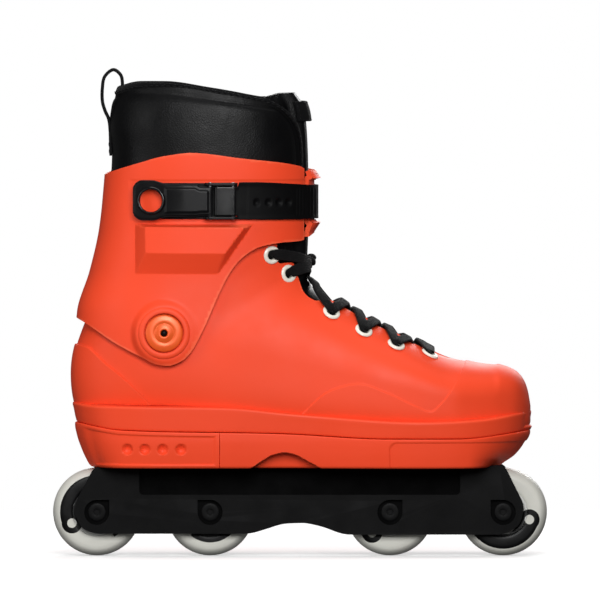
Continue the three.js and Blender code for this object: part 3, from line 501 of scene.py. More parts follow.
def tidy(obj, distance=0.12):
    """Joins points closer than `distance` mm, drops loose ones and turns the faces outwards."""
    with editing(obj) as bm:
        bmesh.ops.remove_doubles(bm, verts=bm.verts, dist=distance * MM)
        bmesh.ops.delete(bm, geom=[v for v in bm.verts if not v.link_faces], context="VERTS")
        bmesh.ops.recalc_face_normals(bm, faces=bm.faces)
    return obj


def apply_modifiers(obj):
    """Makes what the modifiers show the object's own mesh."""
    depsgraph = bpy.context.evaluated_depsgraph_get()
    mesh = bpy.data.meshes.new_from_object(obj.evaluated_get(depsgraph))
    obj.modifiers.clear()
    old = obj.data
    obj.data = mesh
    bpy.data.meshes.remove(old)
    return obj


def thicken(obj, thickness, edge):
    """Gives a sheet its wall, inwards from its outer side, with rounded edges."""
    wall = obj.modifiers.new("Wall", "SOLIDIFY")
    wall.thickness = thickness * MM
    wall.offset = -1
    wall.use_quality_normals = True
    apply_modifiers(obj)
    return soften(obj, edge, angle=70)


def soften(obj, width, segments=3, angle=50):
    """Rounds an object's sharp edges by `width` mm."""
    bevel = obj.modifiers.new("Edges", "BEVEL")
    bevel.width = width * MM
    bevel.segments = segments
    bevel.limit_method = "ANGLE"
    bevel.angle_limit = math.radians(angle)
    bevel.harden_normals = False
    apply_modifiers(obj)
    return shade(obj)


def shade(obj):
    """Smooth shading that keeps flat areas flat."""
    for polygon in obj.data.polygons:
        polygon.use_smooth = True
    normals = obj.modifiers.new("Shading", "WEIGHTED_NORMAL")
    normals.keep_sharp = True
    return obj


def loft(name, rings, material, uv=None):
    """A body through rings of equal length, with its two ends filled."""
    rings = np.array(rings, float)
    rows, columns = rings.shape[:2]
    faces = grid_faces(rows, columns, closed=True)
    faces.append(tuple(range(columns))[::-1])
    faces.append(tuple((rows - 1) * columns + c for c in range(columns)))
    return add_mesh(name, rings.reshape(-1, 3), faces, material, uv)


def slab(name, outer, inner, material):
    """A closed sheet between two grids of points with the same rows and columns."""
    rows, columns = outer.shape[:2]
    offset = rows * columns
    front = grid_faces(rows, columns)
    back = [tuple(i + offset for i in reversed(face)) for face in front]
    border = [c for c in range(columns - 1)]
    border += [r * columns + columns - 1 for r in range(rows - 1)]
    border += [(rows - 1) * columns + c for c in range(columns - 1, 0, -1)]
    border += [r * columns for r in range(rows - 1, 0, -1)]
    rim = [(b, a, a + offset, b + offset) for a, b in zip(border, border[1:] + border[:1])]
    points = np.concatenate([outer.reshape(-1, 3), inner.reshape(-1, 3)])
    return tidy(add_mesh(name, points, front + back + rim, material), 0.01)


def hoop(name, sections, material):
    """A closed ring-shaped body from a grid whose rows and columns both close on themselves."""
    rows, columns = sections.shape[:2]
    faces = grid_faces(rows, columns, closed=True)
    last = (rows - 1) * columns
    faces += [(last + c, last + (c + 1) % columns, (c + 1) % columns, c) for c in range(columns)]
    return tidy(add_mesh(name, sections.reshape(-1, 3), faces, material), 0.01)


def prism(name, outline, low, high, material, plane="XZ"):
    """A prism with an outline in the XZ or XY plane, between two heights on the third axis."""
    outline = np.array(outline, float)
    count = len(outline)
    points = []
    for level in (low, high):
        for a, b in outline:
            points.append((a, level, b) if plane == "XZ" else (a, b, level))
    faces = [tuple(range(count))[::-1], tuple(range(count, 2 * count))]
    faces += [(i, (i + 1) % count, (i + 1) % count + count, i + count) for i in range(count)]
    return tidy(add_mesh(name, points, faces, material), 0.01)


def turned(name, profile, material, centre=(0, 0, 0), axis="Y", segments=64):
    """A body turned about an axis through `centre`. The profile holds [radius, distance along the axis]."""
    profile = np.array(profile, float)
    angle = np.linspace(0, 2 * math.pi, segments, endpoint=False)
    radius, distance = profile[:, :1], profile[:, 1:] + np.zeros(segments)
    first, second = radius * np.cos(angle), radius * np.sin(angle)
    parts = (first, distance, second) if axis == "Y" else (first, second, distance)
    rings = np.stack(parts, axis=-1)
    faces = grid_faces(len(profile), segments, closed=True)
    obj = add_mesh(name, rings.reshape(-1, 3), faces, material)
    obj.location = Vector(centre) * MM
    return tidy(obj, 0.005)


def facing(profile, side):
    """A turned profile on the outer side (-1) or the inner side (+1)."""
    return [(radius, side * y) for radius, y in profile]


def mirrored(half):
    """A turned profile from its inner half, which ends on the middle plane."""
    return half + facing(half[-2::-1], -1)


def crisp(obj, angle=35):
    """Keeps edges sharper than `angle` sharp in the shading."""
    with editing(obj) as bm:
        for edge in bm.edges:
            if len(edge.link_faces) == 2 and edge.calc_face_angle() > math.radians(angle):
                edge.smooth = False
    return obj


def cut_away(obj, *cutters):
    """Subtracts the cutters from an object and removes them."""
    for cutter in cutters:
        difference = obj.modifiers.new("Cut", "BOOLEAN")
        difference.operation = "DIFFERENCE"
        difference.solver = "EXACT"
        difference.material_mode = "TRANSFER"
        difference.object = cutter
        apply_modifiers(obj)
        bpy.data.objects.remove(cutter)
    return obj


def joined(name, *objects):
    """One object from several."""
    bm = bmesh.new()
    materials = []
    for obj in objects:
        first = len(bm.faces)
        mesh = obj.data.copy()
        mesh.transform(obj.matrix_basis)
        bm.from_mesh(mesh)
        bm.faces.ensure_lookup_table()
        slots = []
        for material in obj.data.materials:
            if material not in materials:
                materials.append(material)
            slots.append(materials.index(material))
        for face in bm.faces[first:]:
            face.material_index = slots[face.material_index]
        bpy.data.meshes.remove(mesh)
        bpy.data.objects.remove(obj)
    mesh = bpy.data.meshes.new(name)
    bm.to_mesh(mesh)
    bm.free()
    for material in materials:
        mesh.materials.append(material)
    whole = bpy.data.objects.new(name, mesh)
    bpy.context.scene.collection.objects.link(whole)
    return whole


def ribbon(name, path, normals, width, thickness, material, power=4):
    """A flat band swept along a path. Its UV runs along it and across it, in millimetres."""
    tangent = unit(np.gradient(path, axis=0))
    normals = unit(normals - (normals * tangent).sum(axis=1, keepdims=True) * tangent)
    side = np.cross(tangent, normals)
    angle = np.linspace(0, 2 * math.pi, 16, endpoint=False)
    widths = np.broadcast_to(width, len(path))[:, None]
    across = signed_power(np.cos(angle), 2 / power)[None, :] * widths / 2
    up = signed_power(np.sin(angle), 2 / power)[None, :] * thickness / 2
    rings = path[:, None] + side[:, None] * across[..., None] + normals[:, None] * up[..., None]
    uv = np.stack(np.broadcast_arrays(distance_along(path)[:, None], across + up), axis=-1)
    return tidy(loft(name, rings, material, uv=uv.reshape(-1, 2)), 0.01)


def stitches(name, path, normals, material, length=2.6, gap=1.4, radius=0.32):
    """A row of thread stitches, each a short rounded bar that sinks in at both ends."""
    count = max(int(distance_along(path)[-1] / (length + gap)), 1)
    fine = resample(np.hstack([path, normals]), count * 12)
    bars = []
    for i in range(count):
        part = fine[i * 12 : i * 12 + 9]
        arch = np.sin(np.linspace(0, math.pi, len(part)))[:, None] * radius
        middle = part[:, :3] + part[:, 3:] * (arch - radius * 0.3)
        bars.append(ribbon(f"{name}_{i}", middle, part[:, 3:], radius * 2, radius * 1.6, material, power=2))
    return joined(name, *bars)


def place(obj, body, slot, *nodes):
    """Puts a piece on its body and hides the CAD nodes that it stands for. Its `slot`, the name of its
    finish, is not used.
    """
    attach(obj, body)
    if nodes:
        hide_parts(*nodes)


def place_bending(obj, slot, low, high, *nodes):
    """Bakes a soft piece's place into its mesh and hides the CAD nodes that it stands for. Its `slot`, `low`
    and `high`, given for its finish and for following the shell below z = `low` and the cuff above `high`,
    are not used.
    """
    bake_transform(obj)
    if nodes:
        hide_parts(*nodes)


# ---------------------------------------------------------------- materials

# Most of a noise texture's values lie between these two.
NOISE_SPAN = [0.3, 0.7]


class Surface:
    """A Principled material whose colour, roughness and relief get their detail one layer at a time."""

    def __init__(self, name, color, roughness, metallic=0.0, specular=0.5, coat=0.0):
        self.material = bpy.data.materials.new(name)
        self.material.use_nodes = True
        self.nodes = self.material.node_tree.nodes
        self.links = self.material.node_tree.links
        self.shader = self.nodes["Principled BSDF"]
        self.set("Base Color", (*color, 1))
        self.set("Roughness", roughness)
        self.set("Metallic", metallic)
        self.set("Specular IOR Level", specular)
        self.set("Coat Weight", coat)
        self.set("Coat Roughness", 0.1)
        self.place = self.nodes.new("ShaderNodeTexCoord").outputs["Object"]
        self.color = None
        self.normal = None

    def set(self, name, value):
        """Sets one of the shader's plain inputs."""
        self.shader.inputs[name].default_value = value
        return self

    def add(self, kind, inputs=None, **settings):
        """A new node with its settings and inputs; an input is a value or another node's output."""
        node = self.nodes.new(kind)
        for key, value in settings.items():
            setattr(node, key, value)
        for key, value in (inputs or {}).items():
            if isinstance(value, bpy.types.NodeSocket):
                self.links.new(value, node.inputs[key])
            else:
                node.inputs[key].default_value = value
        return node

    def math(self, operation, a, b=0.0):
        return self.add("ShaderNodeMath", {0: a, 1: b}, operation=operation).outputs[0]

    def mix(self, factor, a, b):
        """A colour between two colours."""
        node = self.add("ShaderNodeMix", {"Factor": factor, 6: a, 7: b}, data_type="RGBA")
        return node.outputs[2]

    def noise(self, scale, detail=3.0, stretch=(1, 1, 1)):
        place = self.add("ShaderNodeMapping", {"Vector": self.place, "Scale": stretch}).outputs[0]
        inputs = {"Vector": place, "Scale": scale, "Detail": detail}
        return self.add("ShaderNodeTexNoise", inputs).outputs["Fac"]

    def between(self, value, low, high, start=0.0, end=1.0):
        """Maps low..high of a value to start..end, held at both ends."""
        inputs = {"Value": value, "From Min": low, "From Max": high, "To Min": start, "To Max": end}
        return self.add("ShaderNodeMapRange", inputs).outputs[0]

    def mottle(self, amount, scale):
        """Varies the plain colour a little from place to place."""
        base = self.shader.inputs["Base Color"].default_value[:3]
        dark, light = ([min(c * share, 1) for c in base] for share in (1 - amount, 1 + amount))
        share = self.between(self.noise(scale), *NOISE_SPAN)
        self.set_color(self.mix(share, (*dark, 1), (*light, 1)))
        return self

    def set_color(self, socket):
        self.color = socket
        self.links.new(socket, self.shader.inputs["Base Color"])

    def gloss(self, low, high, scale, stretch=(1, 1, 1)):
        """Lets the roughness wander between two values."""
        value = self.between(self.noise(scale, stretch=stretch), *NOISE_SPAN, low, high)
        self.links.new(value, self.shader.inputs["Roughness"])
        return self

    def relief(self, height, depth):
        """Adds a bump `depth` mm deep for heights from 0 to 1."""
        inputs = {"Height": height, "Distance": depth * MM, "Strength": 1.0}
        if self.normal:
            inputs["Normal"] = self.normal
        self.normal = self.add("ShaderNodeBump", inputs).outputs[0]
        self.links.new(self.normal, self.shader.inputs["Normal"])
        return self

    def grain(self, scale, depth, detail=2.0, stretch=(1, 1, 1)):
        return self.relief(self.noise(scale, detail, stretch), depth)

    def wear(self, color, strength):
        """Rubs the raised edges towards another colour, more in some places than in others."""
        edge = self.between(self.add("ShaderNodeNewGeometry").outputs["Pointiness"], 0.52, 0.6)
        patchy = self.math("MULTIPLY", edge, self.between(self.noise(45.0), 0.4, 0.65, 0.2, 1.0))
        self.set_color(self.mix(self.math("MULTIPLY", patchy, strength), self.color, (*color, 1)))
        return self

    def weave(self, period, depth, coordinates=None, turn=0.0):
        """Threads that cross over and under each other, `period` apart in the coordinates' unit."""
        turned_by = {"Vector": coordinates or self.place, "Rotation": (0, 0, turn)}
        inputs = {
            "Vector": self.add("ShaderNodeMapping", turned_by).outputs[0],
            "Scale": 2 * math.pi / (20 * period),
        }
        waves = []
        for axis in ("X", "Y"):
            wave = self.add("ShaderNodeTexWave", inputs, bands_direction=axis).outputs["Fac"]
            waves.append(self.math("SUBTRACT", wave, 0.5))
        crossing = self.math("MULTIPLY", *waves)
        return self.relief(self.math("ADD", self.math("MULTIPLY", crossing, 2.0), 0.5), depth)

    def uv(self, name="Along"):
        return self.add("ShaderNodeUVMap", uv_map=name).outputs[0]

    def length(self, a, b):
        """The length of the vector (a, b)."""
        squares = [self.math("MULTIPLY", value, value) for value in (a, b)]
        return self.math("SQRT", self.math("ADD", *squares))


def orange_plastic():
    surface = Surface("Orange moulded plastic", (0.88, 0.068, 0.0205), 0.5, specular=0.22)
    surface.mottle(0.035, 14.0).wear((1.0, 0.2, 0.09), 0.45).gloss(0.46, 0.56, 55.0)
    return surface.grain(1400.0, 0.035).grain(90.0, 0.05, 1.0).material


def orange_anodised():
    surface = Surface("Orange anodised metal", (0.85, 0.105, 0.012), 0.3, metallic=0.2)
    surface.mottle(0.04, 60.0).gloss(0.32, 0.44, 120.0).wear((1.0, 0.3, 0.08), 0.4)
    return surface.grain(2600.0, 0.006).material


def black_nylon():
    surface = Surface("Black frame nylon", (0.0035, 0.0035, 0.0037), 0.5, specular=0.06)
    surface.mottle(0.3, 40.0).wear((0.012, 0.012, 0.0125), 0.6).gloss(0.44, 0.6, 70.0)
    return surface.grain(1800.0, 0.05).grain(260.0, 0.03).material


# A darker copy of the frame nylon: painted shade for the axle pockets and the recess in the frame's upper
# sides.
def pocket_shade_nylon():
    surface = Surface("Black nylon darkened as painted pocket shade", (0.0012, 0.0012, 0.0013), 0.7, specular=0.04)
    return surface.mottle(0.3, 60.0).gloss(0.62, 0.78, 80.0).grain(1800.0, 0.05).material


def black_buckle():
    surface = Surface("Black buckle plastic", (0.0035, 0.0035, 0.004), 0.3, specular=0.14)
    surface.mottle(0.25, 60.0).wear((0.03, 0.03, 0.033), 0.5).gloss(0.26, 0.4, 90.0)
    return surface.grain(2200.0, 0.02).material


def black_gloss():
    surface = Surface("Black polished plastic", (0.004, 0.004, 0.0045), 0.16, specular=0.3, coat=0.15)
    surface.mottle(0.2, 60.0).gloss(0.12, 0.24, 70.0)
    return surface.grain(400.0, 0.012).material


def strap_rubber():
    surface = Surface("Black strap plastic", (0.002, 0.002, 0.0023), 0.5, specular=0.09)
    surface.mottle(0.3, 50.0).wear((0.012, 0.012, 0.0125), 0.5).gloss(0.48, 0.62, 90.0)
    return surface.grain(2400.0, 0.04).material


def black_leather():
    surface = Surface("Black coated leather", (0.0015, 0.0015, 0.0018), 0.4, specular=0.15)
    surface.mottle(0.25, 25.0).gloss(0.36, 0.5, 45.0)
    inputs = {"Vector": surface.place, "Scale": 620.0}
    cells = surface.add("ShaderNodeTexVoronoi", inputs, feature="DISTANCE_TO_EDGE")
    creases = surface.between(cells.outputs["Distance"], 0.0, 0.25)
    return surface.relief(creases, 0.05).grain(60.0, 0.5, 2.0, (1, 1, 0.5)).material


def black_textile():
    surface = Surface("Black liner fabric", (0.003, 0.003, 0.0034), 0.85, specular=0.08)
    surface.set("Sheen Weight", 0.03).set("Sheen Roughness", 0.5)
    surface.mottle(0.3, 220.0).gloss(0.78, 0.92, 120.0)
    return surface.weave(0.0011, 0.12).grain(900.0, 0.05).material


def black_webbing():
    surface = Surface("Black webbing", (0.004, 0.004, 0.0044), 0.75, specular=0.12)
    surface.set("Sheen Weight", 0.03)
    surface.mottle(0.3, 260.0).weave(0.6, 0.05, surface.uv(), math.pi / 4)
    return surface.gloss(0.66, 0.84, 150.0).material


def lace_braid():
    surface = Surface("Black braided lace", (0.004, 0.004, 0.0044), 0.8, specular=0.12)
    surface.set("Sheen Weight", 0.04)
    surface.mottle(0.3, 260.0).weave(1.5, 0.3, surface.uv(), math.pi / 4)
    return surface.gloss(0.7, 0.88, 150.0).material


def black_thread():
    surface = Surface("Black thread", (0.006, 0.006, 0.0065), 0.6, specular=0.15)
    return surface.mottle(0.25, 400.0).gloss(0.5, 0.7, 300.0).grain(2400.0, 0.03).material


def foam_lining():
    surface = Surface("Grey lining foam", (0.03, 0.031, 0.034), 0.9, specular=0.2)
    surface.mottle(0.25, 150.0).gloss(0.82, 0.95, 120.0)
    return surface.weave(0.0018, 0.2).grain(700.0, 0.08).material


def cream_enamel():
    surface = Surface("Cream enamel", (0.83, 0.8, 0.7), 0.3, specular=0.5, coat=0.3)
    surface.mottle(0.05, 120.0).wear((0.62, 0.6, 0.55), 0.4).gloss(0.22, 0.36, 150.0)
    return surface.grain(700.0, 0.015).material


def bright_steel():
    surface = Surface("Bright steel", (0.42, 0.43, 0.45), 0.3, metallic=1.0)
    surface.mottle(0.12, 200.0).gloss(0.24, 0.36, 500.0, (1, 0.15, 1)).wear((0.75, 0.76, 0.78), 0.4)
    return surface.grain(2200.0, 0.012, stretch=(1, 0.12, 1)).material


def blackened_steel():
    surface = Surface("Blackened steel", (0.0015, 0.0015, 0.0017), 0.55, metallic=0.1, specular=0.1)
    surface.mottle(0.2, 200.0).gloss(0.4, 0.55, 500.0, (1, 0.15, 1)).wear((0.008, 0.008, 0.0085), 0.5)
    return surface.grain(2200.0, 0.012, stretch=(1, 0.12, 1)).material


def wheel_print(surface):
    """A generic black swirl with a pale dot, printed round the wheel's axle on the side faces."""
    plain = surface.color
    place = surface.add("ShaderNodeSeparateXYZ", {"Vector": surface.uv("Print")})
    x, z = place.outputs["X"], place.outputs["Y"]
    radius = surface.length(x, z)
    from_head = surface.length(surface.math("SUBTRACT", x, PRINT_HEAD_X), z)
    turn = surface.math("MULTIPLY", surface.math("ARCTAN2", z, x), -1.0)
    clockwise = surface.math("FLOORED_MODULO", turn, 2 * math.pi)
    narrowing = surface.between(clockwise, *PRINT_TAPER_ANGLES, 0.0, PRINT_TAPER)
    inner_edge = surface.between(clockwise, 0.3, 1.0, *PRINT_INNER_RADII)
    inner_edge = surface.math("SUBTRACT", inner_edge, narrowing)
    outer_edge = surface.math("SUBTRACT", PRINT_OUTER_RADIUS, narrowing)
    past_inner = surface.between(surface.math("SUBTRACT", radius, inner_edge), 0.0, PRINT_BLUR)
    before_outer = surface.between(surface.math("SUBTRACT", outer_edge, radius), 0.0, PRINT_BLUR)
    body = surface.math("MULTIPLY", past_inner, before_outer)
    body = surface.math("MULTIPLY", body, surface.between(clockwise, PRINT_END, PRINT_END + 0.02, 1.0, 0.0))
    head = surface.between(from_head, PRINT_HEAD_RADIUS - 0.1, PRINT_HEAD_RADIUS + 0.1, 1.0, 0.0)
    dot = surface.between(from_head, PRINT_DOT_RADIUS - 0.1, PRINT_DOT_RADIUS + 0.1, 1.0, 0.0)
    black = surface.math("SUBTRACT", surface.math("MAXIMUM", body, head), dot)
    flat = surface.add("ShaderNodeNewGeometry").outputs["True Normal"]
    across = surface.add("ShaderNodeSeparateXYZ", {"Vector": flat}).outputs["Y"]
    side = surface.between(surface.math("ABSOLUTE", across), 0.2, 0.3)
    ink = surface.math("MULTIPLY", surface.math("MAXIMUM", black, 0.0), side)
    surface.set_color(surface.mix(ink, plain, (*PRINT_COLOR, 1)))


def urethane():
    surface = Surface("Cream urethane", (0.64, 0.635, 0.58), 0.42, specular=0.18)
    surface.set("Subsurface Weight", 0.04).set("Subsurface Radius", (0.004, 0.0036, 0.003))
    surface.mottle(0.04, 60.0)
    wheel_print(surface)
    return surface.gloss(0.28, 0.42, 90.0).grain(900.0, 0.02).material


def hub_plastic():
    surface = Surface("Pale hub plastic", (0.6, 0.6, 0.57), 0.45, specular=0.4)
    surface.mottle(0.05, 80.0)
    wheel_print(surface)
    return surface.gloss(0.4, 0.55, 90.0).grain(1500.0, 0.03).material


ORANGE = orange_plastic()
ANODISED = orange_anodised()
NYLON = black_nylon()
POCKET_SHADE = pocket_shade_nylon()
BUCKLE = black_buckle()
GLOSS = black_gloss()
STRAP = strap_rubber()
LEATHER = black_leather()
TEXTILE = black_textile()
WEBBING = black_webbing()
LACE = lace_braid()
THREAD = black_thread()
LINING = foam_lining()
ENAMEL = cream_enamel()
STEEL = bright_steel()
DARK_STEEL = blackened_steel()
URETHANE = urethane()
HUB = hub_plastic()

# ---------------------------------------------------------------- the boot's surfaces

SOCK_LINES = [smooth_line([(i, row[k]) for i, row in enumerate(SOCK)]) for k in range(8)]
COUNTER = smooth_line(HEEL_COUNTER_LINE)
FOREFOOT = smooth_line(FOREFOOT_LINE)
SHELL_TOP = smooth_line(SHELL_TOP_LINE)
BAND_TOP = smooth_line(BAND_TOP_LINE)
ARCH = smooth_line(ARCH_LINE)
SOLE_TOP = smooth_line(SOLE_TOP_LINE)
THROAT_HALF = smooth_line([*THROAT, [101, -3], [160, -60]])
CUFF_BACK = smooth_line(CUFF_REAR)
CUFF_NOSE = smooth_line(CUFF_FRONT)
CUFF_SIDE = smooth_line(CUFF_HALF_WIDTH)
CUFF_BOTTOM = smooth_line(CUFF_BOTTOM_LINE)
CUFF_TOP = smooth_line(CUFF_TOP_LINE)
LINER_TOP = smooth_line(LINER_TOP_LINE)
LINER_FOOT_TOP = smooth_line(LINER_FOOT_TOP_LINE)
LINER_FRONT = smooth_line(LINER_FRONT_LINE)
LINER_INSET = smooth_line(LINER_INSET_LINE)
TONGUE_CROWN = smooth_line(TONGUE_CROWN_LINE)
STRAP_TOP = smooth_line(STRAP_TOP_LINE)


def sock_point(station, angle, inset=0.0):
    """Points of the sock: station 0 at the toe, angle 0 on the crest, positive angles on the inner side."""
    lines = [line(station) for line in SOCK_LINES]
    crest_x, crest_z, base_x, base_z, width, shift, crest_power, base_power = lines
    toe = inset * np.clip((base_x - 100) / 50, 0, 1)
    rise_x, rise_z = crest_x - base_x, crest_z - base_z
    length = np.hypot(rise_x, rise_z)
    c, s = np.cos(angle), np.sin(angle)
    power = 2 / np.where(c > 0, crest_power, base_power)
    rise = np.maximum(length / 2 - inset, 1) * signed_power(c, power) / length
    across = np.maximum(width - inset, 1) * signed_power(s, power)
    x = (crest_x + base_x) / 2 - toe + rise_x * rise
    z = (crest_z + base_z) / 2 + rise_z * rise
    return np.stack(np.broadcast_arrays(x, across + shift, z), axis=-1)


def sock_grid(rows, columns, inset=0.0, first=0.0, last=21.0):
    """The sock as a grid, evenly spaced round each ring, with each point's station and angle."""
    station = np.linspace(first, last, rows)
    angle = np.linspace(0, 2 * math.pi, 1441)
    rings = sock_point(station[:, None], angle[None, :], inset)
    grid = np.zeros((rows, columns, 3))
    angles = np.zeros((rows, columns))
    for r, ring in enumerate(rings):
        length = distance_along(ring)
        at = np.linspace(0, length[-1], columns, endpoint=False)
        for k in range(3):
            grid[r, :, k] = np.interp(at, length, ring[:, k])
        angles[r] = np.interp(at, length, angle)
    share = 0.5 * ramp(station[1:-1], 5.5, 7.5)[:, None, None]
    for _ in range(int(80 * (rows / 240) ** 2)):
        grid[1:-1] += share * ((grid[:-2] + grid[2:]) / 2 - grid[1:-1])
    return grid, np.repeat(station[:, None], columns, axis=1), angles


def oval_point(angle, z, offset=0.0):
    """Points of the cuff's oval: angle 0 at the front, 90 on the outer side, 180 at the back."""
    rear = CUFF_BACK(z) - offset
    front = CUFF_NOSE(z) + offset
    side = CUFF_SIDE(z) + offset
    a = np.radians(angle)
    x = (rear + front) / 2 + (front - rear) / 2 * signed_power(np.cos(a), 2 / CUFF_POWER)
    y = -side * signed_power(np.sin(a), 2 / CUFF_POWER)
    return np.stack(np.broadcast_arrays(x, y, z), axis=-1)


def oval_angle(x, z):
    """The angle at which the oval's outer side has this x."""
    rear, front = CUFF_BACK(z), CUFF_NOSE(z)
    t = np.clip((2 * x - rear - front) / (front - rear), -1, 1)
    return np.degrees(np.arccos(signed_power(t, CUFF_POWER / 2)))


def height_on(line, angle):
    """The height at which the oval meets an edge line at each angle."""
    z = line(oval_point(angle, np.full_like(angle, STRAP_Z))[..., 0])
    for _ in range(12):
        z = line(oval_point(angle, z)[..., 0])
    return z


# ---------------------------------------------------------------- where the eyelets are


def on_sock(x, z):
    """The station and the angle at which the sock's side passes through (x, z)."""
    low, high = 4.0, 21.0
    for _ in range(40):
        middle = (low + high) / 2
        crest, base = sock_point(middle, 0.0), sock_point(middle, math.pi)
        side = (crest[0] - base[0]) * (z - base[2]) - (crest[2] - base[2]) * (x - base[0])
        low, high = (middle, high) if side > 0 else (low, middle)
    share = math.hypot(x - base[0], z - base[2]) / math.hypot(crest[0] - base[0], crest[2] - base[2])
    return low, math.acos(min(max(2 * share - 1, 0), 1) ** (CREST_POWER / 2))


def sock_normal(station, angle):
    """The sock's outward direction at one point."""
    here = sock_point(station, angle)
    along = sock_point(station + 0.05, angle) - here
    around = sock_point(station, angle + 0.01) - here
    normal = unit(np.cross(along, around))
    middle = (sock_point(station, 0.0) + sock_point(station, math.pi)) / 2
    return normal if np.dot(normal, here - middle) > 0 else -normal


def eyelet_places():
    """Each eyelet's number, side, station and angle, from the ankle to the toe."""
    places = []
    for i, (x, z) in enumerate(EYELETS):
        station, angle = on_sock(x, z)
        places.append((2 * i + 1, -1, station, -angle))
        places.append((2 * i + 2, 1, station, angle))
    return places


# ---------------------------------------------------------------- shell


def step_up(value):
    """0 to 1 over a panel's narrow edge."""
    return np.clip((value + PANEL_EDGE) / (2 * PANEL_EDGE), 0, 1)


def shell_relief(x, z):
    """How far the shell's moulded panels stand out of the sock."""
    counter = COUNTER_RELIEF * step_up(COUNTER(x) - z)
    forefoot = FOREFOOT_RELIEF * step_up(FOREFOOT(x) - z) * (1 - ramp(x, 100, 124))
    toe_cap = TOE_CAP_RELIEF * ramp(x, 127.5, 131.5) * ramp(z, 104, 118)
    return counter + forefoot + toe_cap


def boot_upper():
    """The shell above its band: a moulded sock, open over the instep and round the ankle."""
    rows, columns = 216, 190
    grid, _, angle = sock_grid(rows, columns)
    normal = grid_normals(grid, closed=True)
    faces = grid_faces(rows, columns, closed=True)
    faces.append(tuple(range(columns))[::-1])
    points = np.column_stack([grid.reshape(-1, 3), normal.reshape(-1, 3), np.cos(angle).ravel()])
    points, faces = clip(points, faces, SHELL_TOP(points[:, 0]) - points[:, 2])
    at_ankle = ramp(points[:, 2], 193, 198) * ramp(points[:, 0], -17, -13)
    half = THROAT_HALF(points[:, 0]) + ANKLE_OPENING * at_ankle
    points, faces = clip(points, faces, np.where(points[:, 6] > 0, np.abs(points[:, 1]) - half, 1.0))
    for line in (COUNTER, FOREFOOT):
        for level in (-2 * PANEL_EDGE, -PANEL_EDGE, PANEL_EDGE, 2 * PANEL_EDGE):
            points, faces = score(points, faces, line(points[:, 0]) - points[:, 2] - level)
    points, faces = clip(points, faces, beyond_eyelets(points))
    relief = shell_relief(points[:, 0], points[:, 2])
    outside = points[:, :3] + unit(points[:, 3:6]) * relief[:, None]
    upper = tidy(add_mesh("upper", outside, faces, ORANGE), 0.1)
    return thicken(upper, SHELL_WALL, 0.9)


def beyond_eyelets(points):
    """How far each point lies outside the holes for the eyelets."""
    gap = np.full(len(points), 50.0)
    for _, _, station, angle in eyelet_places():
        away = points[:, :3] - sock_point(station, angle)
        off_axis = np.linalg.norm(np.cross(away, sock_normal(station, angle)), axis=1)
        near = np.linalg.norm(away, axis=1) < 12
        gap = np.where(near, np.minimum(gap, off_axis - EYELET_BARREL - 0.1), gap)
    return gap


def sole_outline(count):
    """The sole's outline from above, anticlockwise, with its outward normals."""
    outer = [(x, y) for x, y, _ in PLAN]
    inner = [(x, y) for x, _, y in reversed(PLAN)]
    outline = smooth_path(outer + inner, count, closed=True)
    ahead = unit(np.roll(outline, -1, axis=0) - np.roll(outline, 1, axis=0))
    return outline, np.stack([ahead[:, 1], -ahead[:, 0]], axis=1)


def boot_band():
    """The raised band along the shell's lower edge. Its profile holds share of height, offset and lift."""
    outline, normal = sole_outline(760)
    x = outline[:, 0]
    low, high = SOLE_TOP(x) + 0.35, BAND_TOP(x)
    heel = 0.9 * ramp(-x, 118, 146)
    profile = [
        (0, -7, 0), (0, -1.9, 0), (0, -1.3, 0.2), (0, -0.9, 0.7), (0, -0.75, 1.4), (0.3, -0.35, 0),
        (0.5, -0.05, 0), (0.7, 0.3, 0), (1, 0.62, -1.7), (1, 0.58, -0.9), (1, 0.35, -0.35),
        (1, -0.05, -0.05), (1, -0.8, 0.1), (1, -3, 0.5), (1, -7, 1.2),
    ]
    rows = []
    for share, offset, lift in profile:
        z = low + (high - low) * share + lift
        place = outline + normal * (offset + heel * share)[:, None]
        rows.append(np.column_stack([place, z]))
    return hoop("band", np.array(rows), ORANGE)


def boot_shell():
    """The shell as one moulding: the upper and the band along its lower edge."""
    shell = joined("shell_moulding", boot_upper(), boot_band())
    place(shade(shell), "shell", "orange_plastic", "boot_shell")


# ---------------------------------------------------------------- sole plates


def plate_relief(x, z, top):
    """How far the sole plates' sides stand out of (+) or in from (-) their plain wall."""
    rear_panel = np.minimum.reduce([(x + 141) / 6, REAR_PANEL[0] - x, z - REAR_PANEL[1], top - 2.6 - z])
    relief = -PANEL_INSET * ramp(rear_panel, -0.5, 0.5)
    for dimple_x in DIMPLE_X:
        share = np.hypot(x - dimple_x, z - DIMPLE_Z) / DIMPLE_RADIUS
        relief -= DIMPLE_DEPTH * np.clip(1 - share**2, 0, 1) ** 0.8
    beside, below = x - FRONT_PANEL[0], FRONT_PANEL[1] - z
    corner = 5 - np.hypot(np.maximum(5 - beside, 0), np.maximum(5 - below, 0))
    relief -= FRONT_PANEL_INSET * ramp(np.minimum.reduce([corner, beside, below]), -0.3, 0.4)
    relief -= ARCH_DEPTH * ramp(ARCH(x) - z, -0.3, 0.7)
    return relief


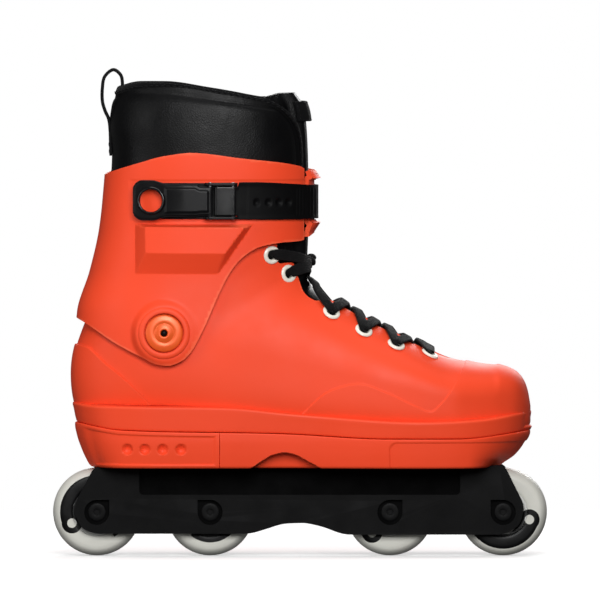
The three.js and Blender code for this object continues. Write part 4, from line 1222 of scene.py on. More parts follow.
def plate_wall():
    """Rings of the sole plates from the middle of the underside, up the wall, to the middle of the top."""
    outline, normal = sole_outline(1000)
    x = outline[:, 0]
    top = SOLE_TOP(x)
    heel, toe = ramp(-x, 116, 146), ramp(x, 112, 146)
    side_tuck, heel_tuck, toe_tuck = (smooth_line(table) for table in (SIDE_TUCK, HEEL_TUCK, TOE_TUCK))
    shares = np.concatenate([np.linspace(0, 0.1, 8), np.linspace(0.13, 0.93, 38), np.linspace(0.95, 1, 6)])
    rings = []
    for share in shares:
        z = SOLE_BOTTOM + (top - SOLE_BOTTOM) * share
        tuck = side_tuck(z) * (1 - heel) * (1 - toe) + heel_tuck(z) * heel + toe_tuck(z) * toe
        low_round = 1.8 * (1 - np.sqrt(1 - np.clip(1 - (z - SOLE_BOTTOM) / 1.8, 0, 1) ** 2))
        high_round = 0.8 * (1 - np.sqrt(1 - np.clip(1 - (top - z) / 0.8, 0, 1) ** 2))
        offset = plate_relief(x, z, top) - tuck - low_round - high_round
        rings.append(np.column_stack([outline + normal * offset[:, None], z]))
    under = [rings[0] * (share, share, 1) for share in (0.02, 0.5)]
    over = [rings[-1] * (share, share, 1) - (0, 0, 0.6) for share in (0.85, 0.4, 0.02)]
    return np.array([*under, *rings, *over])


def half_plate(name, rings, edge_x, keep_front):
    """The part of the sole plates in front of or behind x = edge_x, closed by a flat face."""
    plate = loft(name, rings, ORANGE)
    with editing(plate) as bm:
        bmesh.ops.bisect_plane(
            bm,
            geom=[*bm.verts, *bm.edges, *bm.faces],
            plane_co=(edge_x * MM, 0, 0),
            plane_no=(-1, 0, 0) if keep_front else (1, 0, 0),
            clear_outer=True,
        )
        rim = {vert for edge in bm.edges if edge.is_boundary for vert in edge.verts}
        for vert in rim:
            vert.co.y -= math.copysign(min(SPLIT_CHAMFER * MM, abs(vert.co.y)), vert.co.y)
        bmesh.ops.holes_fill(bm, edges=[edge for edge in bm.edges if edge.is_boundary])
        bmesh.ops.recalc_face_normals(bm, faces=bm.faces)
    return crisp(plate, 38)


def sole_plates():
    """The rear and the front sole plate, cut from one body at a narrow split."""
    rings = plate_wall()
    rear = half_plate("sole_plate_heel", rings, SOLE_SPLIT_X - SOLE_GAP / 2, keep_front=False)
    front = half_plate("sole_plate_toe", rings, SOLE_SPLIT_X + SOLE_GAP / 2, keep_front=True)
    place(rear, "shell", "orange_plastic", "soul_plate_rear")
    place(front, "shell", "orange_plastic", "soul_plate_front")


# ---------------------------------------------------------------- cuff


def share_up(value, edge):
    """Rises from 0 where an edge starts to 1 past its bevel, and on, as the value grows."""
    start, width = edge
    return (value - start) / width


def share_down(value, edge):
    """The same as the value falls."""
    start, width = edge
    return (start - value) / width


def pad_share(x, y, z):
    """Rises from 0 at the foot of the bevelled pad under the strap to 1 at its flat top."""
    front = PAD_FRONT[0] - (PAD_LEAN_Z - z) * PAD_FRONT_LEAN
    slopes = [share_up(x, PAD_REAR), share_down(x, [front, PAD_FRONT[1]])]
    slopes += [share_up(z, PAD_BOTTOM), share_down(z, PAD_TOP)]
    return np.where(y < 0, np.minimum.reduce(slopes), -1)


def bed_share(x, y, z):
    """Rises from 0 at the edge of the shallow bed that the strap lies in to 1 inside it."""
    slopes = [share_up(z, BED_BOTTOM), share_down(z, BED_TOP), share_up(x, BED_REAR)]
    return np.where(y < 0, np.minimum.reduce(slopes), -1)


def cuff_relief(x, y, z, angle):
    """How far the cuff's wall stands out of its oval."""
    relief = PAD_HEIGHT * np.clip(pad_share(x, y, z), 0, 1)
    relief -= BED_DEPTH * np.clip(bed_share(x, y, z), 0, 1)
    taper = 1 - 0.3 * ramp(angle, CUFF_END - 5, CUFF_END)
    reach = RIB_HEIGHT * ramp(angle, RIB_START, RIB_START + 6) * taper
    for low, tip, high in RIBS:
        relief += reach * np.clip(np.minimum((z - low) / (tip - low), (high - z) / (high - tip)), 0, 1)
    return relief


def collar_shift(points):
    """How far the wall moves sideways to make the round boss about each pivot bolt."""
    distance = np.hypot(points[..., 0] - PIVOT_X, points[..., 2] - PIVOT_Z)
    side = np.sign(points[..., 1])
    level = np.where(distance < BOSS_SEAT_RADIUS, BOSS_SEAT_Y, BOSS_RIM_Y)
    return side * (level - np.abs(points[..., 1])) * (1 - ramp(distance, 17.6, 22.5))


def cuff_collar(side):
    """The crisp ring about a pivot bolt's seat."""
    profile = [
        (13.0, 48.6), (13.0, 51.5), (13.2, 52.05), (13.7, 52.3), (15.0, 52.35), (16.0, 52.1), (16.8, 51.5),
        (17.3, 50.6), (17.2, 49.6), (15, 48.6), (13.0, 48.6),
    ]
    return turned("collar", facing(profile, side), ORANGE, (PIVOT_X, 0, PIVOT_Z), segments=96)


def cuff():
    """The moulded cuff: a wall round the ankle with its pad, bed and ribs, and a ring about each bolt."""
    angle = np.linspace(CUFF_START, CUFF_END, 400)[None, :]
    z = np.linspace(123, 270, 133)[:, None]
    grid = oval_point(angle, z)
    normal = grid_normals(grid)
    turn = np.repeat(angle, len(z), axis=0)
    points = np.column_stack([grid.reshape(-1, 3), normal.reshape(-1, 3), turn.ravel()])
    faces = grid_faces(*grid.shape[:2])
    points, faces = clip(points, faces, points[:, 2] - CUFF_BOTTOM(points[:, 0]))
    points, faces = clip(points, faces, CUFF_TOP(points[:, 0]) - points[:, 2])
    for share in (pad_share, bed_share):
        for level in (0, 1):
            points, faces = score(points, faces, share(*points[:, :3].T) - level)
    for level in [z for rib in RIBS for z in rib]:
        points, faces = score(points, faces, points[:, 2] - level)
    relief = cuff_relief(*points[:, :3].T, points[:, 6])
    outside = points[:, :3] + unit(points[:, 3:6]) * relief[:, None]
    outside[:, 1] += collar_shift(outside)
    wall = thicken(tidy(add_mesh("wall", outside, faces, ORANGE), 0.1), CUFF_WALL, 0.9)
    whole = joined("cuff_moulding", wall, cuff_collar(-1), cuff_collar(1))
    place(shade(whole), "cuff", "orange_plastic", "cuff")


def pivot_bolts():
    """The two cuff bolts: a stepped dome with a hex socket, whose floor is a near-black disc of painted
    shade, and the nut behind each.
    """
    pivot = (PIVOT_X, 0, PIVOT_Z)
    shank = [(0, 38.2), (3.2, 38.2), (3.2, 44.2), (6, 44.2), (6, 49.9)]
    dome = [
        (12.0, 49.9), (12.3, 50.2), (12.3, 51.0), (12.0, 51.5), (11.3, 51.85), (9.0, 52.15), (6.9, 52.35),
        (6.6, 52.15), (6.3, 52.15), (6.0, 52.4), (4.0, 52.5), (3.7, 52.65), (3.0, 52.75), (2.6, 52.6),
    ]
    socket = [(2.3, 52.2), (2.2, 50.2), (0, 50.2)]
    # A near-black disc at the socket's floor: painted shade in the hex socket.
    socket_shade_plug = [(0, 50.0), (2.25, 50.0), (2.25, 51.2), (0, 51.2)]
    ring = [(3.3, 41.1), (7.6, 41.1), (7.95, 40.8), (7.95, 39.0), (7.6, 38.7), (3.3, 38.7), (3.3, 41.1)]
    for name, side in (("outer", -1), ("inner", 1)):
        head = turned("head", facing(shank + dome + socket, side), ANODISED, pivot, segments=96)
        shadow = turned("socket_shade_plug", facing(socket_shade_plug, side), DARK_STEEL, pivot, segments=32)
        bolt = joined(f"pivot_bolt_{name}", head, shadow)
        place(bolt, "shell", "orange_anodised", f"cuff_bolt_{name}")
        nut = turned(f"pivot_nut_{name}", facing(ring, side), DARK_STEEL, pivot, segments=48)
        place(nut, "shell", "dark_steel", f"cuff_nut_{name}")


# ---------------------------------------------------------------- liner, tongue and insole


def level_outline(z, inset, count):
    """The sock's outline at one height, from above."""
    grid, _, _ = sock_grid(220, 360, inset, 0.2, 15)
    sides = []
    for ring in grid:
        above = ring[:, 2] - z
        crossing = np.nonzero((above[:-1] > 0) != (above[1:] > 0))[0]
        if len(crossing) == 2:
            t = above[crossing] / (above[crossing] - above[crossing + 1])
            sides.append(ring[crossing] + (ring[crossing + 1] - ring[crossing]) * t[:, None])
    sides = np.array(sides)[:, :, :2]
    return resample(np.concatenate([sides[:, 0], sides[::-1, 1], sides[:1, 0]]), count, closed=True)


def flat_pad(name, outline, low, high, crown, edge, material):
    """A flat cushion: rounded along its edge and crowned towards its middle."""
    middle = outline.mean(axis=0)
    round_edge = [(2.2, 0), (0.8, 0.15), (0.15, 0.5), (0, 1), (0.15, 1.5), (0.8, 1.85), (2.2, 2)]
    rings = []
    reach = np.linalg.norm(outline - middle, axis=1, keepdims=True)
    for inset, level in round_edge:
        ring = middle + (outline - middle) * (1 - inset * edge / reach)
        z = low + (high - crown - low) * level / 2
        rings.append(np.column_stack([ring, np.full(len(ring), z)]))
    for share in (0.9, 0.75, 0.5, 0.25, 0.03):
        ring = middle + (outline - middle) * share
        z = high - crown * share**3
        rings.append(np.column_stack([ring, np.full(len(ring), z)]))
    return tidy(loft(name, rings, material), 0.01)


def insole():
    """The footbed inside the liner."""
    pad = flat_pad("insole_pad", level_outline(96, 10.6, 360), 94.3, 98.3, 0.9, 1.2, LINING)
    place(pad, "shell", "foam", "insole")


def heel_pad():
    """The foam pad under the heel, inside the shell."""
    outline = level_outline(87, 4.6, 720)
    outline = outline[outline[:, 0] < -60]
    start = np.argmax(np.linalg.norm(np.diff(outline, axis=0), axis=1)) + 1
    outline = np.vstack([np.roll(outline, -start, axis=0), outline[start : start + 1]])
    outline = resample(outline, 200, closed=True)
    pad = flat_pad("heel_cushion", outline, 84.2, 89.2, 0.8, 1.0, LINING)
    place(pad, "shell", "foam", "heel_shock_pad")


def liner_foot():
    """The liner's soft sock inside the shell."""
    rows, columns = 150, 130
    grid, _, angle = sock_grid(rows, columns, SHELL_WALL + 1.0)
    puff = 0.5 * np.sin(np.linspace(0, 16 * math.pi, rows))[:, None] ** 2
    grid = grid - grid_normals(grid, closed=True) * puff[..., None]
    faces = grid_faces(rows, columns, closed=True)
    faces.append(tuple(range(columns))[::-1])
    points = np.column_stack([grid.reshape(-1, 3), np.cos(angle).ravel()])
    points, faces = clip(points, faces, LINER_FOOT_TOP(points[:, 0]) - points[:, 2])
    beside_throat = np.abs(points[:, 1]) - THROAT_HALF(points[:, 0]) - 9
    points, faces = clip(points, faces, np.where(points[:, 3] > 0, beside_throat, 1.0))
    liner = thicken(tidy(add_mesh("liner_sock", points[:, :3], faces, TEXTILE), 0.2), LINER_WALL, 2.2)
    place(liner, "shell", "black_textile", "liner_foot")


def liner_cuff():
    """The liner's padded collar, open at the front, with a bound edge and a seam below the binding."""
    columns, rows = 230, 90
    share = np.linspace(-1, 1, columns)[None, :]
    angle_up = 180 + share * (180 - LINER_CORNER)
    top = height_on(LINER_TOP, angle_up[0])[None, :]
    level = np.linspace(0, 1, rows)[:, None]
    z = LINER_BOTTOM + (top - LINER_BOTTOM) * level
    angle = 180 + share * (180 - LINER_FRONT(z))
    outer = oval_point(angle, z, -LINER_INSET(z))
    from_edge = np.minimum(top - z, (1 - np.abs(share)) * 118)
    seam = np.exp(-(((from_edge - SEAM_INSET) / SEAM_WIDTH) ** 2))
    puff = 0.9 * ramp(from_edge, 6.5, 13) - 0.9 * seam
    normal = grid_normals(outer)
    wall = LINER_WALL - 3.4 * (1 - ramp(from_edge, 0, 9))
    front = outer + normal * (puff - 0.4)[..., None]
    back = outer - normal * wall[..., None]
    body = slab("liner_collar", front, back, LEATHER)
    soften(body, 1.2, angle=70)
    place_bending(body, "black_leather", *LINER_BEND_Z, "liner_cuff")
    return front, back


def edge_rail(front, back, inset):
    """The points along the collar's top and front edges, `inset` columns or rows in from them."""
    rows, columns = front.shape[:2]
    first_row = 12
    left = [(r, inset) for r in range(first_row, rows - inset)]
    across = [(rows - 1 - inset, c) for c in range(inset + 1, columns - inset - 1)]
    right = [(r, columns - 1 - inset) for r in range(rows - 1 - inset, first_row - 1, -1)]
    index = np.array(left + across + right)
    return front[index[:, 0], index[:, 1]], back[index[:, 0], index[:, 1]]


def liner_binding(front, back):
    """A textile strip folded over the collar's edge, and a row of stitches below it."""
    outer, inner = edge_rail(front, back, 0)
    deep_outer, deep_inner = edge_rail(front, back, 6)
    deep = resample(deep_outer, len(outer))
    deep_back = resample(deep_inner, len(outer))
    middle = (outer + inner) / 2
    beyond = unit(middle - (deep + deep_back) / 2)
    down = unit(deep - outer)
    down_back = unit(deep_back - inner)
    out = unit(outer - inner)
    leg = [(5.6, -0.3), (5.5, 0.75), (3, 0.8), (0.6, 0.7)]
    profile = [outer + down * depth + out * level for depth, level in leg]
    profile += [
        outer * 0.72 + inner * 0.28 + beyond * 0.9, middle + beyond * 1.15,
        outer * 0.28 + inner * 0.72 + beyond * 0.9,
    ]
    profile += [inner + down_back * depth - out * level for depth, level in reversed(leg)]
    profile.append(middle + down * 3)
    rings = np.stack(profile, axis=1)
    binding = tidy(loft("liner_binding", rings, TEXTILE), 0.02)
    place_bending(binding, "black_textile", *LINER_BEND_Z)
    rail = resample(outer + down * 4.4 + out * 0.95, 500)
    side = resample(out, 500)
    seam = stitches("liner_stitches", rail, side, THREAD)
    place_bending(seam, "black_textile", *LINER_BEND_Z)


def across_rows(control, count):
    """Smooth rows between control rows, evenly spaced along each column."""
    columns = [smooth_path(control[:, c], count) for c in range(control.shape[1])]
    return np.stack(columns, axis=1)


def tongue_surface(t):
    """The tongue's outer side as rows of points, from under the lace up to the shin, across shares t."""
    control = []
    for station in np.linspace(5.2, 12.4, 9):
        crest = sock_point(station, 0.0)
        half = max(float(THROAT_HALF(crest[0])), 7) * 1.32
        width = sock_point(station, math.pi / 2)[1]
        angle = np.sign(t) * np.arcsin(np.minimum(np.abs(t) * half / width, 1) ** (CREST_POWER / 2))
        crown = TONGUE_CROWN(crest[0])
        depth = crown + (6.8 - crown) * np.abs(t) ** 2.2
        control.append(sock_point(station, angle, depth))
    for z in (214, 232, 250, 268, 286, 298, TONGUE_TOP):
        inset = 4.0 + 7.4 * ramp(np.abs(t), 0.28, 0.5) + (1.2 if z == TONGUE_TOP else 0)
        drop = 3.5 * np.abs(t) ** 3 * ramp(z, 286, 305)
        control.append(oval_point(-t * TONGUE_HALF_ANGLE, z - drop, -inset))
    return across_rows(np.array(control), TONGUE_ROWS)


def tongue():
    """The padded tongue, with sewn channels under the lace and a groove inside each edge."""
    columns = 61
    t = np.linspace(-1, 1, columns)
    outer = tongue_surface(t)
    normal = grid_normals(outer)
    middle = normal[:, columns // 2 : columns // 2 + 1]
    crest_normal = normal * np.sign((middle * (1, 0, 0.6)).sum(-1, keepdims=True))
    thickness = TONGUE_THICKNESS - 3.0 * ramp(np.abs(t), 0.7, 1)
    rows = np.linspace(0, 1, TONGUE_ROWS)[:, None]
    roll = 1 - 0.55 * ramp(rows, 0.975, 1)
    groove = 0.8 * np.exp(-(((np.abs(t)[None, :] - 0.76) / 0.03) ** 2)) * np.ones_like(rows)
    quilted = ramp(rows, 0.04, 0.1) * (rows < 0.56)
    channels = 0.9 * (np.abs(np.sin(rows * TONGUE_CHANNELS * math.pi)) ** 0.5 - 1) * quilted
    front = outer + crest_normal * (channels * (1 - ramp(np.abs(t), 0.6, 0.8)) - groove)[..., None]
    back = outer - crest_normal * (thickness[None, :] * roll)[..., None]
    body = slab("tongue_pad", front, back, LEATHER)
    soften(body, 1.6, segments=4, angle=60)
    place_bending(body, "black_leather", *TONGUE_BEND_Z, "tongue_lower", "tongue_upper")


def tongue_tab():
    """The plain woven patch on the tongue's front, sewn down along its edge."""
    angle = np.linspace(-22, 22, 48)[None, :]
    z = np.linspace(286.8, 300.0, 16)[:, None]
    tuck = 4.4 * ramp(np.abs(angle), 12, 22)
    outer = oval_point(angle, z, -0.2 - tuck)
    inner = oval_point(angle, z, -1.7 - tuck)
    patch = slab("tongue_patch", outer, inner, TEXTILE)
    soften(patch, 0.5)
    place(patch, "cuff", "black_textile", "tongue_tab")
    border = np.concatenate([outer[1, 2:-2], outer[2:-2, -3], outer[-2, -3:2:-1], outer[-3:1:-1, 2]])
    border = smooth_path(border[::2], 160, closed=True)
    side = unit(border - (-60, 0, 294))
    seam = stitches("tongue_patch_stitches", border, side, THREAD, length=1.8, gap=1.0, radius=0.22)
    place(seam, "cuff", "black_textile")


# ---------------------------------------------------------------- eyelets and lace


def eyelets():
    """The twelve rings, each set square to the shell where it sits."""
    profile = [
        (3.0, -3.4), (EYELET_BARREL, -3.4), (EYELET_BARREL, 0.05), (5.7, 0.05), (6.0, 0.35), (5.95, 0.8),
        (5.6, 1.25), (4.9, 1.6), (4.2, 1.65), (3.6, 1.45), (3.2, 1.0), (3.0, 0.4), (3.0, -3.4),
    ]
    for number, _, station, angle in eyelet_places():
        ring = turned(f"eyelet_ring_{number}", profile, ENAMEL, axis="Z", segments=48)
        normal = Vector(sock_normal(station, angle))
        ring.matrix_world = Matrix.Translation(Vector(sock_point(station, angle)) * MM) @ (
            normal.to_track_quat("Z", "Y").to_matrix().to_4x4()
        )
        place(ring, "shell", "cream_enamel", f"eyelet_{number}")


def lace_strand(start, end, sag, dip):
    """One crossing of the lace: out of one eyelet's hole, over the tongue and down into the other's."""
    rise = [-3.0, 0.4, 2.2]
    t = np.concatenate([[0, 0, 0], np.linspace(0.03, 0.97, 22), [1, 1, 1]])
    bow = np.sin(math.pi * t)
    lift = np.concatenate([rise, np.full(22, LACE_LIFT), rise[::-1]]) - dip * ramp(bow, 0.8, 0.99)
    station = start[2] + (end[2] - start[2]) * t - sag * bow
    angle = start[3] + (end[3] - start[3]) * t
    path = np.array([sock_point(s, a, -up) for s, a, up in zip(station, angle, lift)])
    normals = np.array([sock_normal(s, a) for s, a in zip(station, angle)])
    fine = smooth_path(np.hstack([path, normals]), 90)
    half_way = np.abs(np.linspace(-1, 1, 90))
    width = LACE_WIDTH * (1 - 0.42 * ramp(half_way, 0.82, 0.97))
    return ribbon("strand", fine[:, :3], fine[:, 3:], width, LACE_THICKNESS, LACE)


def lace():
    """A flat black lace, crossed from the toe eyelets up to the ankle, with a small knot at the top."""
    places = eyelet_places()
    outer, inner = places[0::2], places[1::2]
    strands = [lace_strand(outer[5], inner[5], 0, LACE_DIP)]
    for i in range(1, len(EYELETS)):
        sag, dip = (LACE_SAG, 1) if i == 1 else (0, LACE_DIP)
        strands.append(lace_strand(outer[i], inner[i - 1], sag, dip))
        strands.append(lace_strand(inner[i], outer[i - 1], sag, dip))
    station = (outer[0][2] + outer[1][2]) / 2 - LACE_SAG
    centre = sock_point(station, 0.0, -2.8)
    turn = np.linspace(0, 2 * math.pi, 40)
    knot = np.column_stack([
        centre[0] + 1.6 * np.sin(2 * turn),
        3.6 * np.cos(turn),
        centre[2] + 2.4 * np.sin(turn),
    ])
    out = unit(knot - (centre - (6, 0, 3)))
    strands.append(ribbon("knot", knot, out, 3.6, 2.2, LACE, power=2.4))
    whole = joined("lace_strands", *strands)
    place(shade(whole), "shell", "black_textile", "lace")


# ---------------------------------------------------------------- buckle, strap and loop


def buckle_lever():
    """The curved lever with its glossy ring about the finger hole."""
    outer_y = smooth_line(LEVER_PLAN)
    low, high = np.min(LEVER_OUTLINE, axis=0), np.max(LEVER_OUTLINE, axis=0)
    x, z = np.meshgrid(np.linspace(low[0], high[0], 96), np.linspace(low[1], high[1], 50))
    outline = rounded(LEVER_OUTLINE, 2.2)
    hole_x, hole_z, hole_radius = FINGER_HOLE
    inside = outline_distance(outline, x, z)
    step = 0.7 * ramp(x, -89.5, -87.5) * ramp(inside, 2.4, 3.4) - 0.9 * (1 - ramp(inside, 0, 1.6)) ** 2
    y = outer_y(x) - step + 0.3
    points = np.stack([x, y, z], axis=-1).reshape(-1, 3)
    faces = grid_faces(50, 96)
    points, faces = clip(points, faces, outline_distance(outline, points[:, 0], points[:, 2]) - 0.01)
    from_hole = np.hypot(points[:, 0] - hole_x, points[:, 2] - hole_z)
    points, faces = clip(points, faces, from_hole - hole_radius - 0.6)
    plate = tidy(add_mesh("plate", points, faces, BUCKLE), 0.12)
    wall = plate.modifiers.new("Wall", "SOLIDIFY")
    wall.thickness = 2.9 * MM
    wall.offset = -1 if plate.data.polygons[0].normal.y < 0 else 1
    apply_modifiers(plate)
    soften(plate, 0.5)
    barrel_plan = [[-61.4, -52.6], [-57.4, -52.6], [-57.4, -56.5], [-61.4, -56.5]]
    barrel = prism("barrel", rounded(barrel_plan, 1.8), 225.4, 244.6, BUCKLE, plane="XY")
    soften(barrel, 0.4)
    turn = np.linspace(0, 2 * math.pi, 72, endpoint=False)
    profile = [
        (7.3, 3.0), (7.3, 0.2), (7.45, -0.5), (7.9, -0.95), (8.5, -0.95), (9.1, -0.55), (9.4, 0.1),
        (9.4, 3.0), (8.6, 5.6), (7.9, 5.6),
    ]
    sections = []
    for radius, back in profile:
        ring_x = hole_x + radius * np.cos(turn)
        ring_z = hole_z + radius * np.sin(turn)
        sections.append(np.column_stack([ring_x, outer_y(ring_x) + back, ring_z]))
    ring = hoop("ring", np.array(sections), GLOSS)
    whole = joined("lever", plate, barrel, ring)
    place(shade(whole), "buckle_lever", "black_plastic", "buckle_lever")


def buckle_trigger():
    """The block between the lever and the strap."""
    plan = [[-56.0, -56.7], [-42.2, -56.7], [-41.9, -54.2], [-43.4, -52.8], [-56.0, -52.8]]
    block = prism("trigger", rounded(plan, 1.6), 225.3, 244.7, GLOSS, plane="XY")
    soften(block, 0.9, segments=4)
    place(block, "buckle_trigger", "black_plastic", "buckle_trigger")


def buckle_base():
    """The plate under the lever, with two ears that hold the pins."""
    low, high = oval_angle(-42, STRAP_Z), oval_angle(-90, STRAP_Z)
    angle = np.linspace(low, high, 60)[None, :]
    z = np.linspace(223.1, 246.9, 20)[:, None]
    plate = soften(slab("base", oval_point(angle, z, 1.3), oval_point(angle, z, 0.3), BUCKLE), 0.3)
    ear = [[-63, -50.3], [-41, -49.6], [-41, -55.2], [-42.6, -56.8], [-60.5, -56.8], [-63, -54.6]]
    ears = []
    for bottom, top in ((222.9, 224.8), (245.2, 247.1)):
        ears.append(soften(prism("ear", rounded(ear, 1.2), bottom, top, BUCKLE, plane="XY"), 0.4))
    whole = joined("buckle_frame", plate, *ears)
    place(shade(whole), "cuff", "black_plastic", "buckle_base")


def buckle_pins():
    """The steel pins on which the lever and the trigger turn."""
    profile = [(0, 222.5), (0.9, 222.5), (1.4, 222.9), (1.4, 247.1), (0.9, 247.5), (0, 247.5)]
    for name, x in (("lever", LEVER_PIN_X), ("trigger", TRIGGER_PIN_X)):
        pin = turned(f"{name}_pin", profile, STEEL, (x, BUCKLE_PIN_Y, 0), axis="Z", segments=32)
        place(pin, "cuff", "steel", f"buckle_{name}_pin")


def screw(name, x, z, side, seat, radius, node):
    """A dome-headed screw with a cross recess."""
    shank = [(0, -5.2), (1.8, -5.2), (1.8, 0)]
    dome = [(radius, 0), (radius, 0.5), (radius * 0.94, 0.85), (radius * 0.6, 1.3), (0, 1.5)]
    head = turned(name, facing(shank + dome, side), STEEL, (x, seat, z), segments=48)
    for turn in (0, math.pi / 2):
        arm = Vector((math.cos(turn), 0, math.sin(turn))) * radius * 0.55
        across = Vector((math.sin(turn), 0, -math.cos(turn))) * 0.45
        plan = [arm + across, arm - across, -arm - across, -arm + across]
        low, high = sorted((side * 0.7, side * 3))
        slot = prism("slot", [(p.x, p.z) for p in plan], low, high, STEEL)
        slot.location = head.location
        cut_away(head, slot)
    place(crisp(head), "cuff", "steel", node)


def cuff_screws():
    """The screw under the lever, and the one at the strap's inner end."""
    outer_x, inner_x = -84, -36
    outer_seat = oval_point(oval_angle(outer_x, STRAP_Z), STRAP_Z)[1] - 2.1
    inner_seat = -oval_point(oval_angle(inner_x, STRAP_Z), STRAP_Z)[1] + 4.1
    screw("buckle_base_screw", outer_x, 234.8, -1, outer_seat, 3.2, "buckle_screw")
    screw("strap_end_screw", inner_x, 234.3, 1, inner_seat, 4, "strap_screw")


def ladder_strap():
    """The strap: it leaves the buckle, runs round the front of the cuff and is screwed to the inner side."""
    outer_end = float(oval_angle(-75, STRAP_Z))
    inner_end = -float(oval_angle(-44, STRAP_Z))
    near_buckle = float(oval_angle(-36, STRAP_Z))
    buckle_end = float(oval_angle(-41.1, STRAP_Z))
    angle = np.linspace(inner_end, outer_end, 420)[None, :]
    middle = oval_point(angle, np.full_like(angle, STRAP_Z))
    x, outer_side = middle[..., 0], angle > 0
    top = np.where(outer_side, STRAP_TOP(x), 244.9)
    bottom = np.where(angle > buckle_end, 225.3, STRAP_BOTTOM)
    top = np.where(angle > buckle_end, np.minimum(top, 244.7), top)
    level = np.linspace(0, 1, 26)[:, None]
    z = bottom + (top - bottom) * level
    in_buckle = np.clip((angle - near_buckle + 8) / 16, 0, 1)
    clearance = STRAP_CLEARANCE + 0.9 * in_buckle
    thickness = STRAP_THICKNESS - 1.2 * in_buckle
    edge = np.minimum(level, 1 - level) * (top - bottom)
    border = 0.35 * ramp(edge, 1.6, 2.2)
    ridges = 0.45 * (0.5 + 0.5 * np.cos(x * math.pi)) * ramp(x, -4.5, -3.5) * ramp(edge, 2.2, 2.8)
    step = 0.6 * ramp(x, -35.6, -34.6) * np.where(outer_side, 1, 0)
    dimples = np.zeros_like(z + x)
    for dimple_x in STRAP_DIMPLE_X:
        share = np.hypot(x - dimple_x, (z - 234) * 0.9) / 2.3
        dimples += np.where(outer_side, 1.3 * np.clip(1 - share**2, 0, 1), 0)
    pattern = ridges - border * 0.8 + step * 0.5 - dimples
    outer = oval_point(angle, z, clearance + thickness - 0.6 + pattern)
    inner = oval_point(angle, z, clearance + np.zeros_like(z))
    strap = soften(slab("strap", outer, inner, STRAP), 0.45, angle=60)
    place(strap, "cuff", "black_plastic", "ladder_strap")


def pull_loop():
    """The webbing loop at the back of the collar, with two rows of stitches at its outer end."""
    path = smooth_path([(x, 0, z) for x, z in PULL_LOOP], 120)
    ahead = unit(np.gradient(path, axis=0))
    out = np.column_stack([-ahead[:, 2], np.zeros(len(path)), ahead[:, 0]])
    band = ribbon("loop_band", path, out, LOOP_WIDTH, LOOP_THICKNESS, WEBBING, power=6)
    rows = []
    for y in (-5.4, 5.4):
        sewn = slice(2, 16)
        rail = path[sewn] + out[sewn] * 1.0 + (0, y, 0)
        rows.append(stitches(f"loop_row_{y}", rail, out[sewn], THREAD, length=1.9, gap=1.1, radius=0.24))
    whole = joined("loop", band, *rows)
    place(shade(whole), "cuff", "black_webbing", "pull_loop")


# ---------------------------------------------------------------- frame and wheels


def drilled(x, z, radius, reach, segments):
    """A round cutter along Y, `reach` to each side of the middle."""
    angle = np.linspace(0, 2 * math.pi, segments, endpoint=False)
    outline = np.column_stack([x + radius * np.cos(angle), z + radius * np.sin(angle)])
    return prism("cutter", outline, -reach, reach, NYLON)


def boxed(x0, x1, y0, y1, z0, z1, radius, material):
    """A box cutter whose edges along Y are rounded."""
    return prism("cutter", rounded([[x0, z0], [x1, z0], [x1, z1], [x0, z1]], radius), y0, y1, material)


def axle_pocket(x, corner, low, high):
    """The pocket about an axle's head: round, with one square corner. Its faces take the darker pocket nylon,
    painted shade.
    """
    size = 8.25
    arc = np.linspace(0, 1.5 * math.pi, 40)
    outline = [(x + corner * size, AXLE_Z + size)]
    outline += [(x - corner * size * math.sin(a), AXLE_Z + size * math.cos(a)) for a in arc]
    return prism("cutter", outline, low, high, POCKET_SHADE)


def skate_frame():
    """The H-shaped frame: two walls with wheel wells between them, a deck on top and axle pockets outside."""
    body = prism("skate_frame", rounded(FRAME_OUTLINE, 4.5, 7), -FRAME_HALF_WIDTH, FRAME_HALF_WIDTH, NYLON)
    channel = [
        [-160, -5], [-27.5, -5], [-27.5, 26], [-12, 27.5], [12, 27.5], [27.5, 24], [27.5, -5], [160, -5],
        [160, DECK_BOTTOM], [-160, DECK_BOTTOM],
    ]
    cut_away(body, prism("cutter", channel, -FRAME_SLOT, FRAME_SLOT, NYLON))
    cutters = [boxed(x - 15.5, x + 15.5, -FRAME_SLOT, FRAME_SLOT, 50, 70, 1.5, NYLON) for x in AXLE_X]
    cutters += [drilled(x, AXLE_Z, WHEEL_RADIUS + 1.6, FRAME_SLOT, 96) for x in AXLE_X]
    for side in (-1, 1):
        low, high = sorted((side * 17, side * 30))
        # The recess in the upper sides takes the darker pocket nylon, painted shade; so do the axle pockets
        # below.
        cutters.append(boxed(-106, 105.6, low, high, 40.6, 70, 3, POCKET_SHADE))
        low, high = sorted((side * 16, side * 20))
        cutters += [axle_pocket(x, (-1) ** i, low, high) for i, x in enumerate(AXLE_X)]
    cutters += [drilled(x, AXLE_Z, AXLE_RADIUS + 0.15, 20, 32) for x in AXLE_X]
    bolt_hole = [(0, 40), (6, 40), (6, 56.2), (3.3, 56.2), (3.3, 70), (0, 70)]
    cutters += [turned("cutter", bolt_hole, NYLON, (x, 0, 0), axis="Z") for x in FRAME_BOLT_X]
    cut_away(body, *cutters)
    soften(tidy(body, 0.02), 0.6)
    ring = [(4.4, 13.4), (4.4, 12.3), (5.9, 12.3), (6.4, 12.7), (6.5, 13.4), (4.4, 13.4)]
    bosses = []
    for x in AXLE_X:
        for side in (-1, 1):
            bosses.append(turned("boss", facing(ring, side), NYLON, (x, 0, AXLE_Z), segments=48))
    whole = joined("frame_moulding", body, *bosses)
    place(shade(whole), "shell", "black_plastic", "frame")


